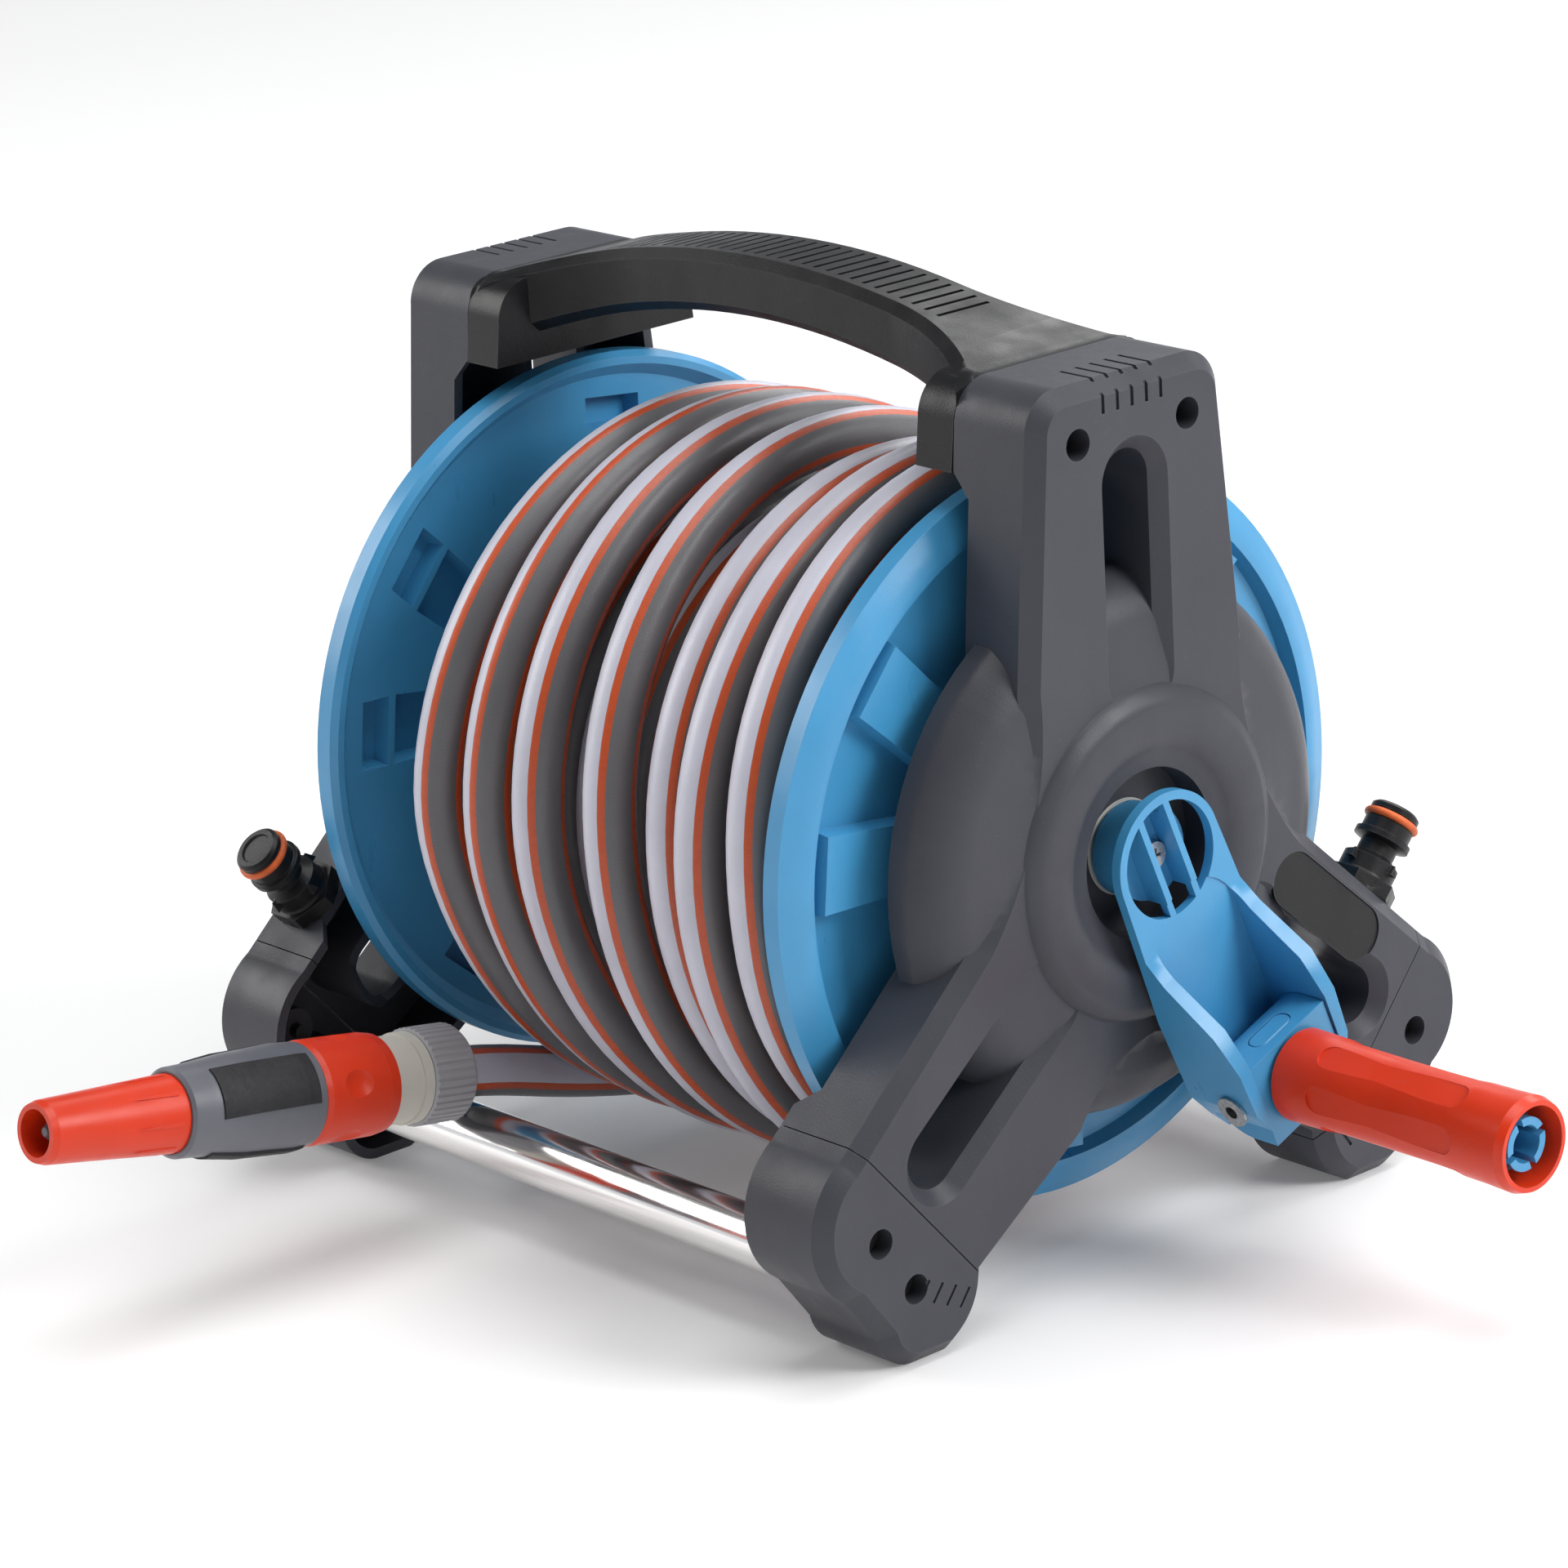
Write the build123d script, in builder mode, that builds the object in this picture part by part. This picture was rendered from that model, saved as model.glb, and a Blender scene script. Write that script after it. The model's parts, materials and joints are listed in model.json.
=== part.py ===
from build123d import *
import os
from math import cos, degrees, pi, radians, sin, tan

os.makedirs("parts", exist_ok=True)

# Portable garden hose reel, millimetres. +X runs along the drum axis towards the crank,
# -Y is the side where the hose leaves the drum, +Z is up and the feet stand on z = 0.

# ---------------------------------------------------------------- overall
HUB_Z = 138.0                 # height of the drum axis above the ground
GRIP_END_X = 281.0            # outer end of the crank grip, from the middle of the drum
INLET_OUTER_X = -184.0        # outer wall of the water inlet elbow
MID_X = (GRIP_END_X + INLET_OUTER_X) / 2

# ---------------------------------------------------------------- side frames
FACE_X = 151.0                # outer face of a side frame
ARM_IN_X = 123.0              # inner edge of the arms beside the drum
FOOT_IN_X = 116.0             # inner edge at the top end and at the feet
FRAME_WALL = 3.5
FRAME_CHAMFER = 5.0
TOP_Z = 153.5                 # flat top of the upright arm, above the drum axis
TOP_HALF = 41.3
TOP_CORNER = 14.0
RELIEF_R = 126.0              # clearance cone round the drum flange
SLOT_HALF = 9.75
SLOT_END_R = 129.0
SLOT_NEAR_R = 58.0
LEG_ANGLE = 38.5              # legs' slots, below the horizontal
SEAM_TOP = (126.0, -61.0)     # ends of the joint line between leg and foot cap
SEAM_LOW = (76.5, -118.0)
SEAM_GAP = 0.4
DOME_R = 88.0
BOSS_R = 47.4
BOSS_X = 155.5
RECESS_R = 27.5
RECESS_FLOOR_X = 140.0
BUSH_R = 15.5
BUSH_LIP_R = 18.0
SHAFT_R = 11.9
RUN = 0.06                    # radial clearance of a running fit
SCREW_R = 2.4
SCREW_HEAD_R = 4.4
SCREW_SEAT_X = 140.0          # where the handle screws' heads rest
HANDLE_SCREW_Y = 23.5
HANDLE_SCREW_Z = 135.7
FOOT_SCREWS = ((119.5, -93.0), (106.0, -112.0))
FOOT_SCREW_LONG = 8.0
FOOT_SCREW_SEAT_X = 142.0
HANDLE_SCREW_LONG = 30.0
FOOT_LINES = 5
FACE_SKIN = 4.0
RIB_T = 2.4
SLOT_BEVEL = 4.5
GRIP_LINE_PITCH = 6.2
BADGE_U, BADGE_V = 79.5, -39.5
BADGE_LONG, BADGE_WIDE = 58.0, 19.0
BADGE_TURN = -41.5
BADGE_DEPTH = 1.6
STUB_X = 133.5                # parking stubs on the legs
STUB_FOOT = (111.5, -47.4)
STUB_TURN = 42.0              # the leg's upper wall, below the horizontal
STUB_SEAT_R = 9.0

# ---------------------------------------------------------------- tubes, handle
TUBE_R = 9.7
TUBE_Y = 112.0
TUBE_Z = -111.0
TUBE_HALF = 137.0
TUBE_GAP = 0.05
HANDLE_X = 116.0              # joint between the handle's end blocks and the frames
BLOCK_X = 100.0               # inner face of the end blocks
BLOCK_LOW_Z = 125.5
BAR_TOP_Z = 171.0
BAR_UNDER_Z = 151.0
BAR_HALF = 17.0
GROOVE_COUNT = 29
GROOVE_PITCH = 5.6

# ---------------------------------------------------------------- drum
RIM_R = 120.0
PLATE_IN_X = 108.5            # inner face of a flange
PLATE_T = 3.0
BARREL_R = 58.0
BARREL_WALL = 3.0
SPOKE_PAIRS = 4
SPOKE_IN_R = 58.0
SPOKE_OUT_R = 107.0
SPOKE_TOP_X = 117.5
SPOKE_NEAR = (3.0, 9.5)       # a spoke's edges at its two ends, degrees from the pair's middle
SPOKE_FAR = (26.5, 24.5)
SPOKE_WALL = 2.4
SPOKE_TAPER = 10
POCKETS = ((62.0, 91.5), (94.0, 105.0))
FLANGE_TURN = {1: 66.0, -1: 23.5}   # how the flanges stand round the axis at rest, degrees

# ---------------------------------------------------------------- crank and grip
CRANK_TURN = 22.0             # the arm hangs this far from straight down, towards +Y
ARM_R = 79.0                  # from the drum axis to the grip axis
PIN_X = 176.0                 # the grip's fold pin
ARM_BACK_X = 157.0
HUB_RIM_X = 160.6
CHEEK_X = 186.0
ARM_HUB_R = 22.0
ARM_SPIGOT_R = 15.0           # the part of the crank inside the frame's recess
ARM_END_R = 22.5
KNUCKLE_HALF = 18.1
KNUCKLE_R = 15.4
PIN_R = 3.5
PIN_END_AT = 0.35             # from the cheeks' widest point to the pin's rolled ends
PIN_END_T = 1.0
GRIP_START_X = 185.6
GRIP_R = 15.0
PANEL_COUNT = 6               # flat panels round the grip's sleeve
PANEL_LONG = 60.0
PANEL_WIDE = 9.0
PANEL_FLAT_R = 13.9
SNOUT_R = 8.6                 # the core's slotted end, seen inside the sleeve's mouth
CORE_R = 11.0
RIB_AT = 5.9                  # ribs beside the crank screw's head
HUB_POCKET = 9.0
SQUARE = 14.0
SQUARE_END_X = 147.0
BUTTON_LONG = 17.0
BUTTON_WIDE = 7.0
BUTTON_DEEP = 4.0
BUTTON_TRAVEL = 1.2

# ---------------------------------------------------------------- water path
WATER_END_X = 166.0           # outer end of the water shaft
BORE_R = 7.0
SHAFT_SEAL_X = 158.0
OUTLET_X = 80.0
OUTLET_NUT_R = 13.0
INLET_STUB_X = 173.0
STUB_TIP_R = 8.35
SEAL_R = 1.3
STUB_SEAL_AT = 27.0
STUB_SEAL_MID = 8.2
STUB_PROFILE = [
    (-6, 0), (-6, 8.6), (0, 8.6), (0, 11.5), (1.5, 11.5), (7, 9.5), (12, 9.5), (14, 6.4),
    (18, 6.4), (19, 9.6), (21, 9.6), (21.5, 8.35), (25.4, 8.35), (25.4, 6.8), (28.6, 6.8),
    (28.6, 8.35), (30.3, 8.35), (31.3, 7.2), (31.3, 5.5), (30.6, 5.2), (30.6, 0),
]

# ---------------------------------------------------------------- hose and nozzle
HOSE_R = 8.5
NUT_RIBS = 40
SLEEVE_START = 32.0
SLEEVE_END = 62.0
DIMPLE_R = 12.0
DIMPLE_AT = 27.6
PAD_TURNS = (35, 155, 275)
COIL_R = 121.0                # outer turns
COIL_LOW_R = 104.0            # inner turns, beside the outer ones, where the free end leaves
COIL_LEFT_X = -82.0
COIL_STEP_X = -44.0
COIL_RIGHT_X = 103.0
LEAD_X = -54.0
NOZZLE_START = (LEAD_X, -121.0, -87.0)
NOZZLE_RISE = 9.5             # degrees above the horizontal, pointing to -Y
LEAD_POINTS = [
    (LEAD_X, 30.0, -113.6),
    (LEAD_X, -22.0, -114.2),
    (LEAD_X, -66.0, -103.8),
    (LEAD_X, -111.1, -88.66),
    (LEAD_X, -137.3, -84.27),
]

DRUM_AXIS = Axis((-MID_X, 0, HUB_Z), (1, 0, 0))


def place(x, y, z):
    """A point given from the middle of the drum, in the model's own frame."""
    return (x - MID_X, y, z + HUB_Z)


def side_plane(x, side=1):
    """Across the drum axis at x. Side -1 is the same plane turned half a turn about Z."""
    return Plane(origin=place(side * x, 0, 0), x_dir=(0, side, 0), z_dir=(side, 0, 0))


def axial_plane(side=1):
    """Through the drum axis: local x runs outwards along the axis, local y is up."""
    return Plane(origin=place(0, 0, 0), x_dir=(side, 0, 0), z_dir=(0, -side, 0))


def stub_plane(side, height):
    """Square to the upper wall of the leg that carries the parking stub."""
    lean = radians(STUB_TURN)
    up = (0, side * sin(lean), cos(lean))
    foot = place(side * STUB_X, side * STUB_FOOT[0], STUB_FOOT[1])
    origin = Vector(*foot) + Vector(*up) * height
    return Plane(origin=origin, x_dir=(1, 0, 0), z_dir=up)


def finish(piece, name):
    """Label a finished piece and write it."""
    piece.part.label = name
    export_step(piece.part, f"parts/{name}.step")


def turned(profile, plane, axis=DRUM_AXIS):
    """A turned piece from (along, radius) points."""
    with BuildPart() as piece:
        with BuildSketch(plane):
            with BuildLine():
                Polyline(*profile, close=True)
            make_face()
        revolve(axis=axis)
    return piece


# ================================================================ side frames
def half_outline():
    """Right half of the outline of a side frame with its foot, from the top to the arch."""
    Line((0, TOP_Z), (TOP_HALF - TOP_CORNER, TOP_Z))
    ThreePointArc(
        (TOP_HALF - TOP_CORNER, TOP_Z),
        (TOP_HALF - 0.29 * TOP_CORNER, TOP_Z - 0.29 * TOP_CORNER),
        (TOP_HALF, TOP_Z - TOP_CORNER),
    )
    Line((TOP_HALF, TOP_Z - TOP_CORNER), (48.3, 62))
    ThreePointArc((48.3, 62), (53.6, 20), (71.7, -11.6))
    Line((71.7, -11.6), (130, -64.4))
    ThreePointArc((130, -64.4), (143.2, -86), (131, -110))
    Line((131, -110), (119, -126))
    ThreePointArc((119, -126), (114.5, -134), (106, -HUB_Z))
    Line((106, -HUB_Z), (91, -HUB_Z))
    ThreePointArc((91, -HUB_Z), (80.5, -130), (75, -116))
    Line((75, -116), (30, -85.5))
    ThreePointArc((30, -85.5), (17, -71), (0, -64))


def slots(margin, mode=Mode.ADD):
    """The three rounded slots of a side frame, widened all round by a margin."""
    half = SLOT_HALF + margin
    far = SLOT_END_R - SLOT_HALF
    for angle in (90, -LEG_ANGLE, 180 + LEG_ANGLE):
        with Locations(Rotation(0, 0, angle)):
            with Locations(((far + SLOT_NEAR_R) / 2, 0)):
                Rectangle(far - SLOT_NEAR_R, 2 * half, mode=mode)
            with Locations((far, 0), (SLOT_NEAR_R, 0)):
                Circle(half, mode=mode)


def side_blank(side):
    """Frame and feet in one: a box section, open towards the drum, with a chamfered face."""
    with BuildPart() as blank:
        with BuildSketch(side_plane(FOOT_IN_X, side)) as outline:
            with BuildLine():
                half_outline()
                mirror(about=Plane.YZ)
            make_face()
        extrude(amount=FACE_X - FOOT_IN_X - FRAME_CHAMFER)
        with BuildSketch(side_plane(FACE_X - FRAME_CHAMFER, side)):
            add(outline.sketch_local)
        extrude(amount=FRAME_CHAMFER, taper=45)
        with BuildSketch(side_plane(FOOT_IN_X, side)):
            add(outline.sketch_local)
            offset(amount=-FRAME_WALL, mode=Mode.REPLACE)
            slots(FRAME_WALL, mode=Mode.SUBTRACT)
            with Locations((-TUBE_Y, TUBE_Z), (TUBE_Y, TUBE_Z)):
                Circle(TUBE_R + FRAME_WALL, mode=Mode.SUBTRACT)
            for angle in (60, 120, -12, 192):
                with Locations(Rotation(0, 0, angle)):
                    with Locations((100, 0)):
                        Rectangle(200, RIB_T, mode=Mode.SUBTRACT)
        extrude(amount=FACE_X - FOOT_IN_X - FACE_SKIN, mode=Mode.SUBTRACT)
        with BuildSketch(side_plane(FACE_X, side)):
            slots(0)
        extrude(amount=FOOT_IN_X - FACE_X - 1, mode=Mode.SUBTRACT)
        with BuildSketch(side_plane(FACE_X, side)):
            slots(SLOT_BEVEL)
        extrude(amount=-SLOT_BEVEL, taper=45, mode=Mode.SUBTRACT)
        with BuildSketch(axial_plane(side)):
            with BuildLine():
                Polyline(
                    (FOOT_IN_X - 1, 0),
                    (ARM_IN_X, 0),
                    (ARM_IN_X, RELIEF_R),
                    (FOOT_IN_X - 1, RELIEF_R + ARM_IN_X - FOOT_IN_X + 1),
                    close=True,
                )
            make_face()
        revolve(axis=DRUM_AXIS, mode=Mode.SUBTRACT)
        with BuildSketch(side_plane(TUBE_HALF + 0.5, side)):
            with Locations((-TUBE_Y, TUBE_Z), (TUBE_Y, TUBE_Z)):
                Circle(TUBE_R + TUBE_GAP)
        extrude(amount=-60, mode=Mode.SUBTRACT)
    return blank


def seam_plane(side, leg, gap):
    """Joint between a leg and its foot cap. leg is +1 or -1 in the frame's own plane."""
    run = Vector(SEAM_TOP[0] - SEAM_LOW[0], SEAM_TOP[1] - SEAM_LOW[1])
    normal = Vector(-run.Y, run.X).normalized() * -1
    corner = Vector(*SEAM_LOW) + normal * gap
    return Plane(
        origin=place(0, side * leg * corner.X, corner.Y),
        x_dir=(1, 0, 0),
        z_dir=(0, side * leg * normal.X, normal.Y),
    )


def make_side_frame(side, name, blank):
    """One moulding, used on both ends of the drum."""
    with BuildPart() as frame:
        add(blank.part)
        for leg in (1, -1):
            split(bisect_by=seam_plane(side, leg, 0), keep=Keep.BOTTOM)
        with BuildSketch(axial_plane(side)):
            with BuildLine():
                dome = Polyline(
                    (ARM_IN_X + 4, DOME_R),
                    (ARM_IN_X + 10, DOME_R),
                )
                curve = ThreePointArc(dome @ 1, (142.8, 81.5), (147.6, 70))
                boss = Polyline(
                    curve @ 1,
                    (150.4, 54),
                    (152.5, 52.5),
                    (BOSS_X, BOSS_R),
                    (BOSS_X, 38),
                    (BOSS_X - 2.5, 34),
                    (BOSS_X - 4, RECESS_R),
                    (RECESS_FLOOR_X, RECESS_R),
                    (RECESS_FLOOR_X, BUSH_R),
                    (ARM_IN_X - 0.6, BUSH_R),
                    (ARM_IN_X - 0.6, BUSH_R + FRAME_WALL),
                    (RECESS_FLOOR_X - FRAME_WALL, BUSH_R + FRAME_WALL),
                    (RECESS_FLOOR_X - FRAME_WALL, RECESS_R + FRAME_WALL),
                    (146.4, RECESS_R + FRAME_WALL + 3),
                    (146.3, 54),
                    (143.6, 68.5),
                )
                inner = ThreePointArc(boss @ 1, (139.8, 78.6), (ARM_IN_X + 9, DOME_R - FRAME_WALL))
                Polyline(inner @ 1, (ARM_IN_X + 4, DOME_R - FRAME_WALL), dome @ 0)
            make_face()
        revolve(axis=DRUM_AXIS)
        with BuildSketch(side_plane(ARM_IN_X - 2, side)):
            Circle(BUSH_R)
        extrude(amount=40, mode=Mode.SUBTRACT)
        with BuildSketch(side_plane(RECESS_FLOOR_X, side)):
            Circle(RECESS_R)
        extrude(amount=40, mode=Mode.SUBTRACT)
        with BuildSketch(side_plane(FOOT_IN_X + 0.3, side)):
            with Locations((-HANDLE_SCREW_Y, HANDLE_SCREW_Z), (HANDLE_SCREW_Y, HANDLE_SCREW_Z)):
                Circle(SCREW_HEAD_R + 3)
        extrude(amount=FACE_X - FACE_SKIN + 0.5 - FOOT_IN_X)
        with BuildSketch(side_plane(FACE_X, side)):
            with Locations((-HANDLE_SCREW_Y, HANDLE_SCREW_Z), (HANDLE_SCREW_Y, HANDLE_SCREW_Z)):
                Circle(SCREW_HEAD_R + 0.6)
        extrude(amount=SCREW_SEAT_X - FACE_X, mode=Mode.SUBTRACT)
        with BuildSketch(side_plane(FOOT_IN_X - 1, side)):
            with Locations((-HANDLE_SCREW_Y, HANDLE_SCREW_Z), (HANDLE_SCREW_Y, HANDLE_SCREW_Z)):
                Circle(SCREW_R)
        extrude(amount=FACE_X - FOOT_IN_X, mode=Mode.SUBTRACT)
        for k in range(-2, 3):
            with Locations(place(side * (FACE_X - 9), k * GRIP_LINE_PITCH, TOP_Z)):
                Box(18, 1.4, 2.4, mode=Mode.SUBTRACT)
            with Locations(place(side * FACE_X, k * GRIP_LINE_PITCH, TOP_Z - 6.5)):
                Box(2, 1.4, 8, mode=Mode.SUBTRACT)
        with BuildSketch(side_plane(FACE_X, side)):
            with Locations((BADGE_U, BADGE_V)):
                SlotOverall(BADGE_LONG, BADGE_WIDE, rotation=BADGE_TURN)
        extrude(amount=-BADGE_DEPTH, mode=Mode.SUBTRACT)
        with BuildSketch(stub_plane(side, 0)):
            Circle(STUB_SEAT_R)
        extrude(amount=-9, mode=Mode.SUBTRACT)
    finish(frame, name)


def make_foot_cap(side, leg, name, blank):
    """The shoe on the end of a leg: it holds the cross tube and stands on the ground."""
    with BuildPart() as cap:
        add(blank.part)
        split(bisect_by=seam_plane(side, leg, SEAM_GAP), keep=Keep.TOP)
        with BuildSketch(side_plane(TUBE_HALF + 0.5, side)):
            for u, v in FOOT_SCREWS:
                with Locations((leg * u, v)):
                    Circle(SCREW_HEAD_R + 3)
        extrude(amount=FACE_X - FACE_SKIN - TUBE_HALF)
        with BuildSketch(side_plane(FACE_X, side)):
            for u, v in FOOT_SCREWS:
                with Locations((leg * u, v)):
                    Circle(SCREW_HEAD_R + 0.4)
        extrude(amount=FOOT_SCREW_SEAT_X - FACE_X, mode=Mode.SUBTRACT)
        with BuildSketch(side_plane(FACE_X, side)):
            for u, v in FOOT_SCREWS:
                with Locations((leg * u, v)):
                    Circle(SCREW_R)
        extrude(amount=TUBE_HALF - FACE_X, mode=Mode.SUBTRACT)
        for k in range(FOOT_LINES):
            with Locations(place(side * FACE_X, side * leg * (86 + 5.5 * k), -121 + 2.5 * k)):
                Box(1.6, 1.1, 7, rotation=(side * leg * 38, 0, 0), mode=Mode.SUBTRACT)
    finish(cap, name)


def make_bush(side, name):
    """Flanged plain bearing for the drum's shaft."""
    bush = turned(
        [
            (ARM_IN_X - 2.4, SHAFT_R + RUN),
            (RECESS_FLOOR_X, SHAFT_R + RUN),
            (RECESS_FLOOR_X, BUSH_R),
            (ARM_IN_X - 0.7, BUSH_R),
            (ARM_IN_X - 0.7, BUSH_LIP_R),
            (ARM_IN_X - 2.4, BUSH_LIP_R),
        ],
        axial_plane(side),
    )
    finish(bush, name)


def make_badge(side, name):
    """Plain plate seated just below the leg's face."""
    with BuildPart() as badge:
        with BuildSketch(side_plane(FACE_X - BADGE_DEPTH, side)):
            with Locations((BADGE_U, BADGE_V)):
                SlotOverall(BADGE_LONG - 0.4, BADGE_WIDE - 0.4, rotation=BADGE_TURN)
        extrude(amount=BADGE_DEPTH - 0.5)
    finish(badge, name)


def make_stub(side, name, seal_name):
    """Closed quick-coupling stub where the connector is parked, with its O-ring."""
    axis = Axis(stub_plane(side, 0).origin, stub_plane(side, 0).z_dir)
    plane = Plane(
        origin=axis.position,
        x_dir=axis.direction,
        z_dir=(1, 0, 0),
    )
    with BuildPart() as stub:
        with BuildSketch(plane):
            with BuildLine():
                Polyline(*STUB_PROFILE, close=True)
            make_face()
        revolve(axis=axis)
        with BuildSketch(stub_plane(side, 0.6)):
            RegularPolygon(radius=13, side_count=6)
        extrude(amount=5)
        with BuildSketch(stub_plane(side, 9)):
            Rectangle(3, 23)
            Rectangle(23, 3)
        extrude(amount=3.5, taper=20)
    finish(stub, name)
    with BuildPart() as seal:
        with BuildSketch(plane):
            with Locations((STUB_SEAL_AT, STUB_SEAL_MID)):
                Circle(SEAL_R)
        revolve(axis=axis)
    finish(seal, seal_name)


# ================================================================ handle and tubes
def make_handle():
    """Arched carrying bar with an end block against each side frame."""
    with BuildPart() as handle:
        with BuildSketch(Plane(origin=place(0, 0, 0), x_dir=(1, 0, 0), z_dir=(0, -1, 0))):
            with BuildLine():
                top = ThreePointArc((-HANDLE_X, TOP_Z - 1), (0, BAR_TOP_Z), (HANDLE_X, TOP_Z - 1))
                side = Line(top @ 1, (HANDLE_X, BLOCK_LOW_Z + 3))
                under = ThreePointArc(side @ 1, (0, BAR_UNDER_Z), (-HANDLE_X, BLOCK_LOW_Z + 3))
                Line(under @ 1, top @ 0)
            make_face()
        extrude(amount=60, both=True)
        with BuildSketch(Plane(origin=place(0, 0, 0))):
            with BuildLine():
                near = Line((HANDLE_X, -40), (HANDLE_X, 40))
                flare = ThreePointArc(near @ 1, (88, 22), (62, BAR_HALF))
                far = Line(flare @ 1, (-62, BAR_HALF))
                flare_b = ThreePointArc(far @ 1, (-88, 22), (-HANDLE_X, 40))
                left = Line(flare_b @ 1, (-HANDLE_X, -40))
                flare_c = ThreePointArc(left @ 1, (-88, -22), (-62, -BAR_HALF))
                low = Line(flare_c @ 1, (62, -BAR_HALF))
                ThreePointArc(low @ 1, (88, -22), near @ 0)
            make_face()
        extrude(amount=200, mode=Mode.INTERSECT)
        long_edges = handle.edges().filter_by(GeomType.CIRCLE).filter_by(lambda e: e.length > 80)
        chamfer(long_edges, length=3.2)
        for side_sign in (1, -1):
            with BuildSketch(side_plane(BLOCK_X, side_sign)):
                with BuildLine():
                    Line((0, TOP_Z), (TOP_HALF - TOP_CORNER, TOP_Z))
                    ThreePointArc(
                        (TOP_HALF - TOP_CORNER, TOP_Z),
                        (TOP_HALF - 0.29 * TOP_CORNER, TOP_Z - 0.29 * TOP_CORNER),
                        (TOP_HALF, TOP_Z - TOP_CORNER),
                    )
                    Line((TOP_HALF, TOP_Z - TOP_CORNER), (43, BLOCK_LOW_Z))
                    Line((43, BLOCK_LOW_Z), (0, BLOCK_LOW_Z))
                    mirror(about=Plane.YZ)
                make_face()
            extrude(amount=HANDLE_X - 0.3 - BLOCK_X)
        for k in range(GROOVE_COUNT):
            at = (k - (GROOVE_COUNT - 1) / 2) * GROOVE_PITCH
            with Locations(place(at, 0, bar_top(at))):
                Box(1.5, 22, 2.4, rotation=(0, bar_slope(at), 0), mode=Mode.SUBTRACT)
        for side_sign in (1, -1):
            with BuildSketch(side_plane(BLOCK_X + 3, side_sign)):
                with Locations((-HANDLE_SCREW_Y, HANDLE_SCREW_Z), (HANDLE_SCREW_Y, HANDLE_SCREW_Z)):
                    Circle(SCREW_R)
            extrude(amount=40, mode=Mode.SUBTRACT)
    finish(handle, "carry_handle")


def bar_radius():
    """Radius of the handle bar's crown."""
    rise = BAR_TOP_Z - TOP_Z + 1
    return (HANDLE_X**2 + rise**2) / (2 * rise)


def bar_top(x):
    """Height of the handle bar's crown at x."""
    radius = bar_radius()
    return BAR_TOP_Z - radius + (radius**2 - x**2) ** 0.5


def bar_slope(x):
    """Turn about Y that lays a groove square to the crown at x, degrees."""
    return degrees(x / bar_radius())


def make_tube(sign, name):
    """Steel cross tube between the two side frames."""
    with BuildPart() as tube:
        with BuildSketch(side_plane(-TUBE_HALF)):
            with Locations((sign * TUBE_Y, TUBE_Z)):
                Circle(TUBE_R)
                Circle(TUBE_R - 1.2, mode=Mode.SUBTRACT)
        extrude(amount=2 * TUBE_HALF)
    finish(tube, name)


def make_screws(places, length, name):
    """Pan-head screws with a cross recess. places: (side, seat x, u, v) of each head's seat."""
    with BuildPart() as screws:
        for side, seat, u, v in places:
            with BuildSketch(side_plane(seat, side)):
                with Locations((u, v)):
                    Circle(SCREW_HEAD_R - 0.3)
            extrude(amount=2.8)
            with BuildSketch(side_plane(seat, side)):
                with Locations((u, v)):
                    Circle(SCREW_R - 0.1)
            extrude(amount=-length)
            with BuildSketch(side_plane(seat + 2.8, side)):
                with Locations((u, v)):
                    Rectangle(4.6, 1)
                    Rectangle(1, 4.6)
            extrude(amount=-1.4, mode=Mode.SUBTRACT)
    finish(screws, name)


# ================================================================ drum
def spoke_corners(sign, inner, outer, inset):
    """Corners of a spoke between two radii, drawn in from its edges, seen along the axis."""
    corners = []
    for radius, edges in ((inner, (0, 1)), (outer, (0, 1)), (outer, (1, 0)), (inner, (1, 0))):
        along = (radius - SPOKE_IN_R) / (SPOKE_OUT_R - SPOKE_IN_R)
        near = SPOKE_NEAR[0] + (SPOKE_NEAR[1] - SPOKE_NEAR[0]) * along + degrees(inset / radius)
        far = SPOKE_FAR[0] + (SPOKE_FAR[1] - SPOKE_FAR[0]) * along - degrees(inset / radius)
        angle = radians(sign * (near if edges[0] == 0 else far))
        corners.append((radius * cos(angle), radius * sin(angle)))
    return corners


def spokes(side, inner, outer, inset):
    """The outlines of all spokes between two radii, in the flange's own turn."""
    for k in range(SPOKE_PAIRS):
        for sign in (1, -1):
            with Locations(Rotation(0, 0, FLANGE_TURN[side] + 360 / SPOKE_PAIRS * k)):
                Polygon(*spoke_corners(sign, inner, outer, inset), align=None)


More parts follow.
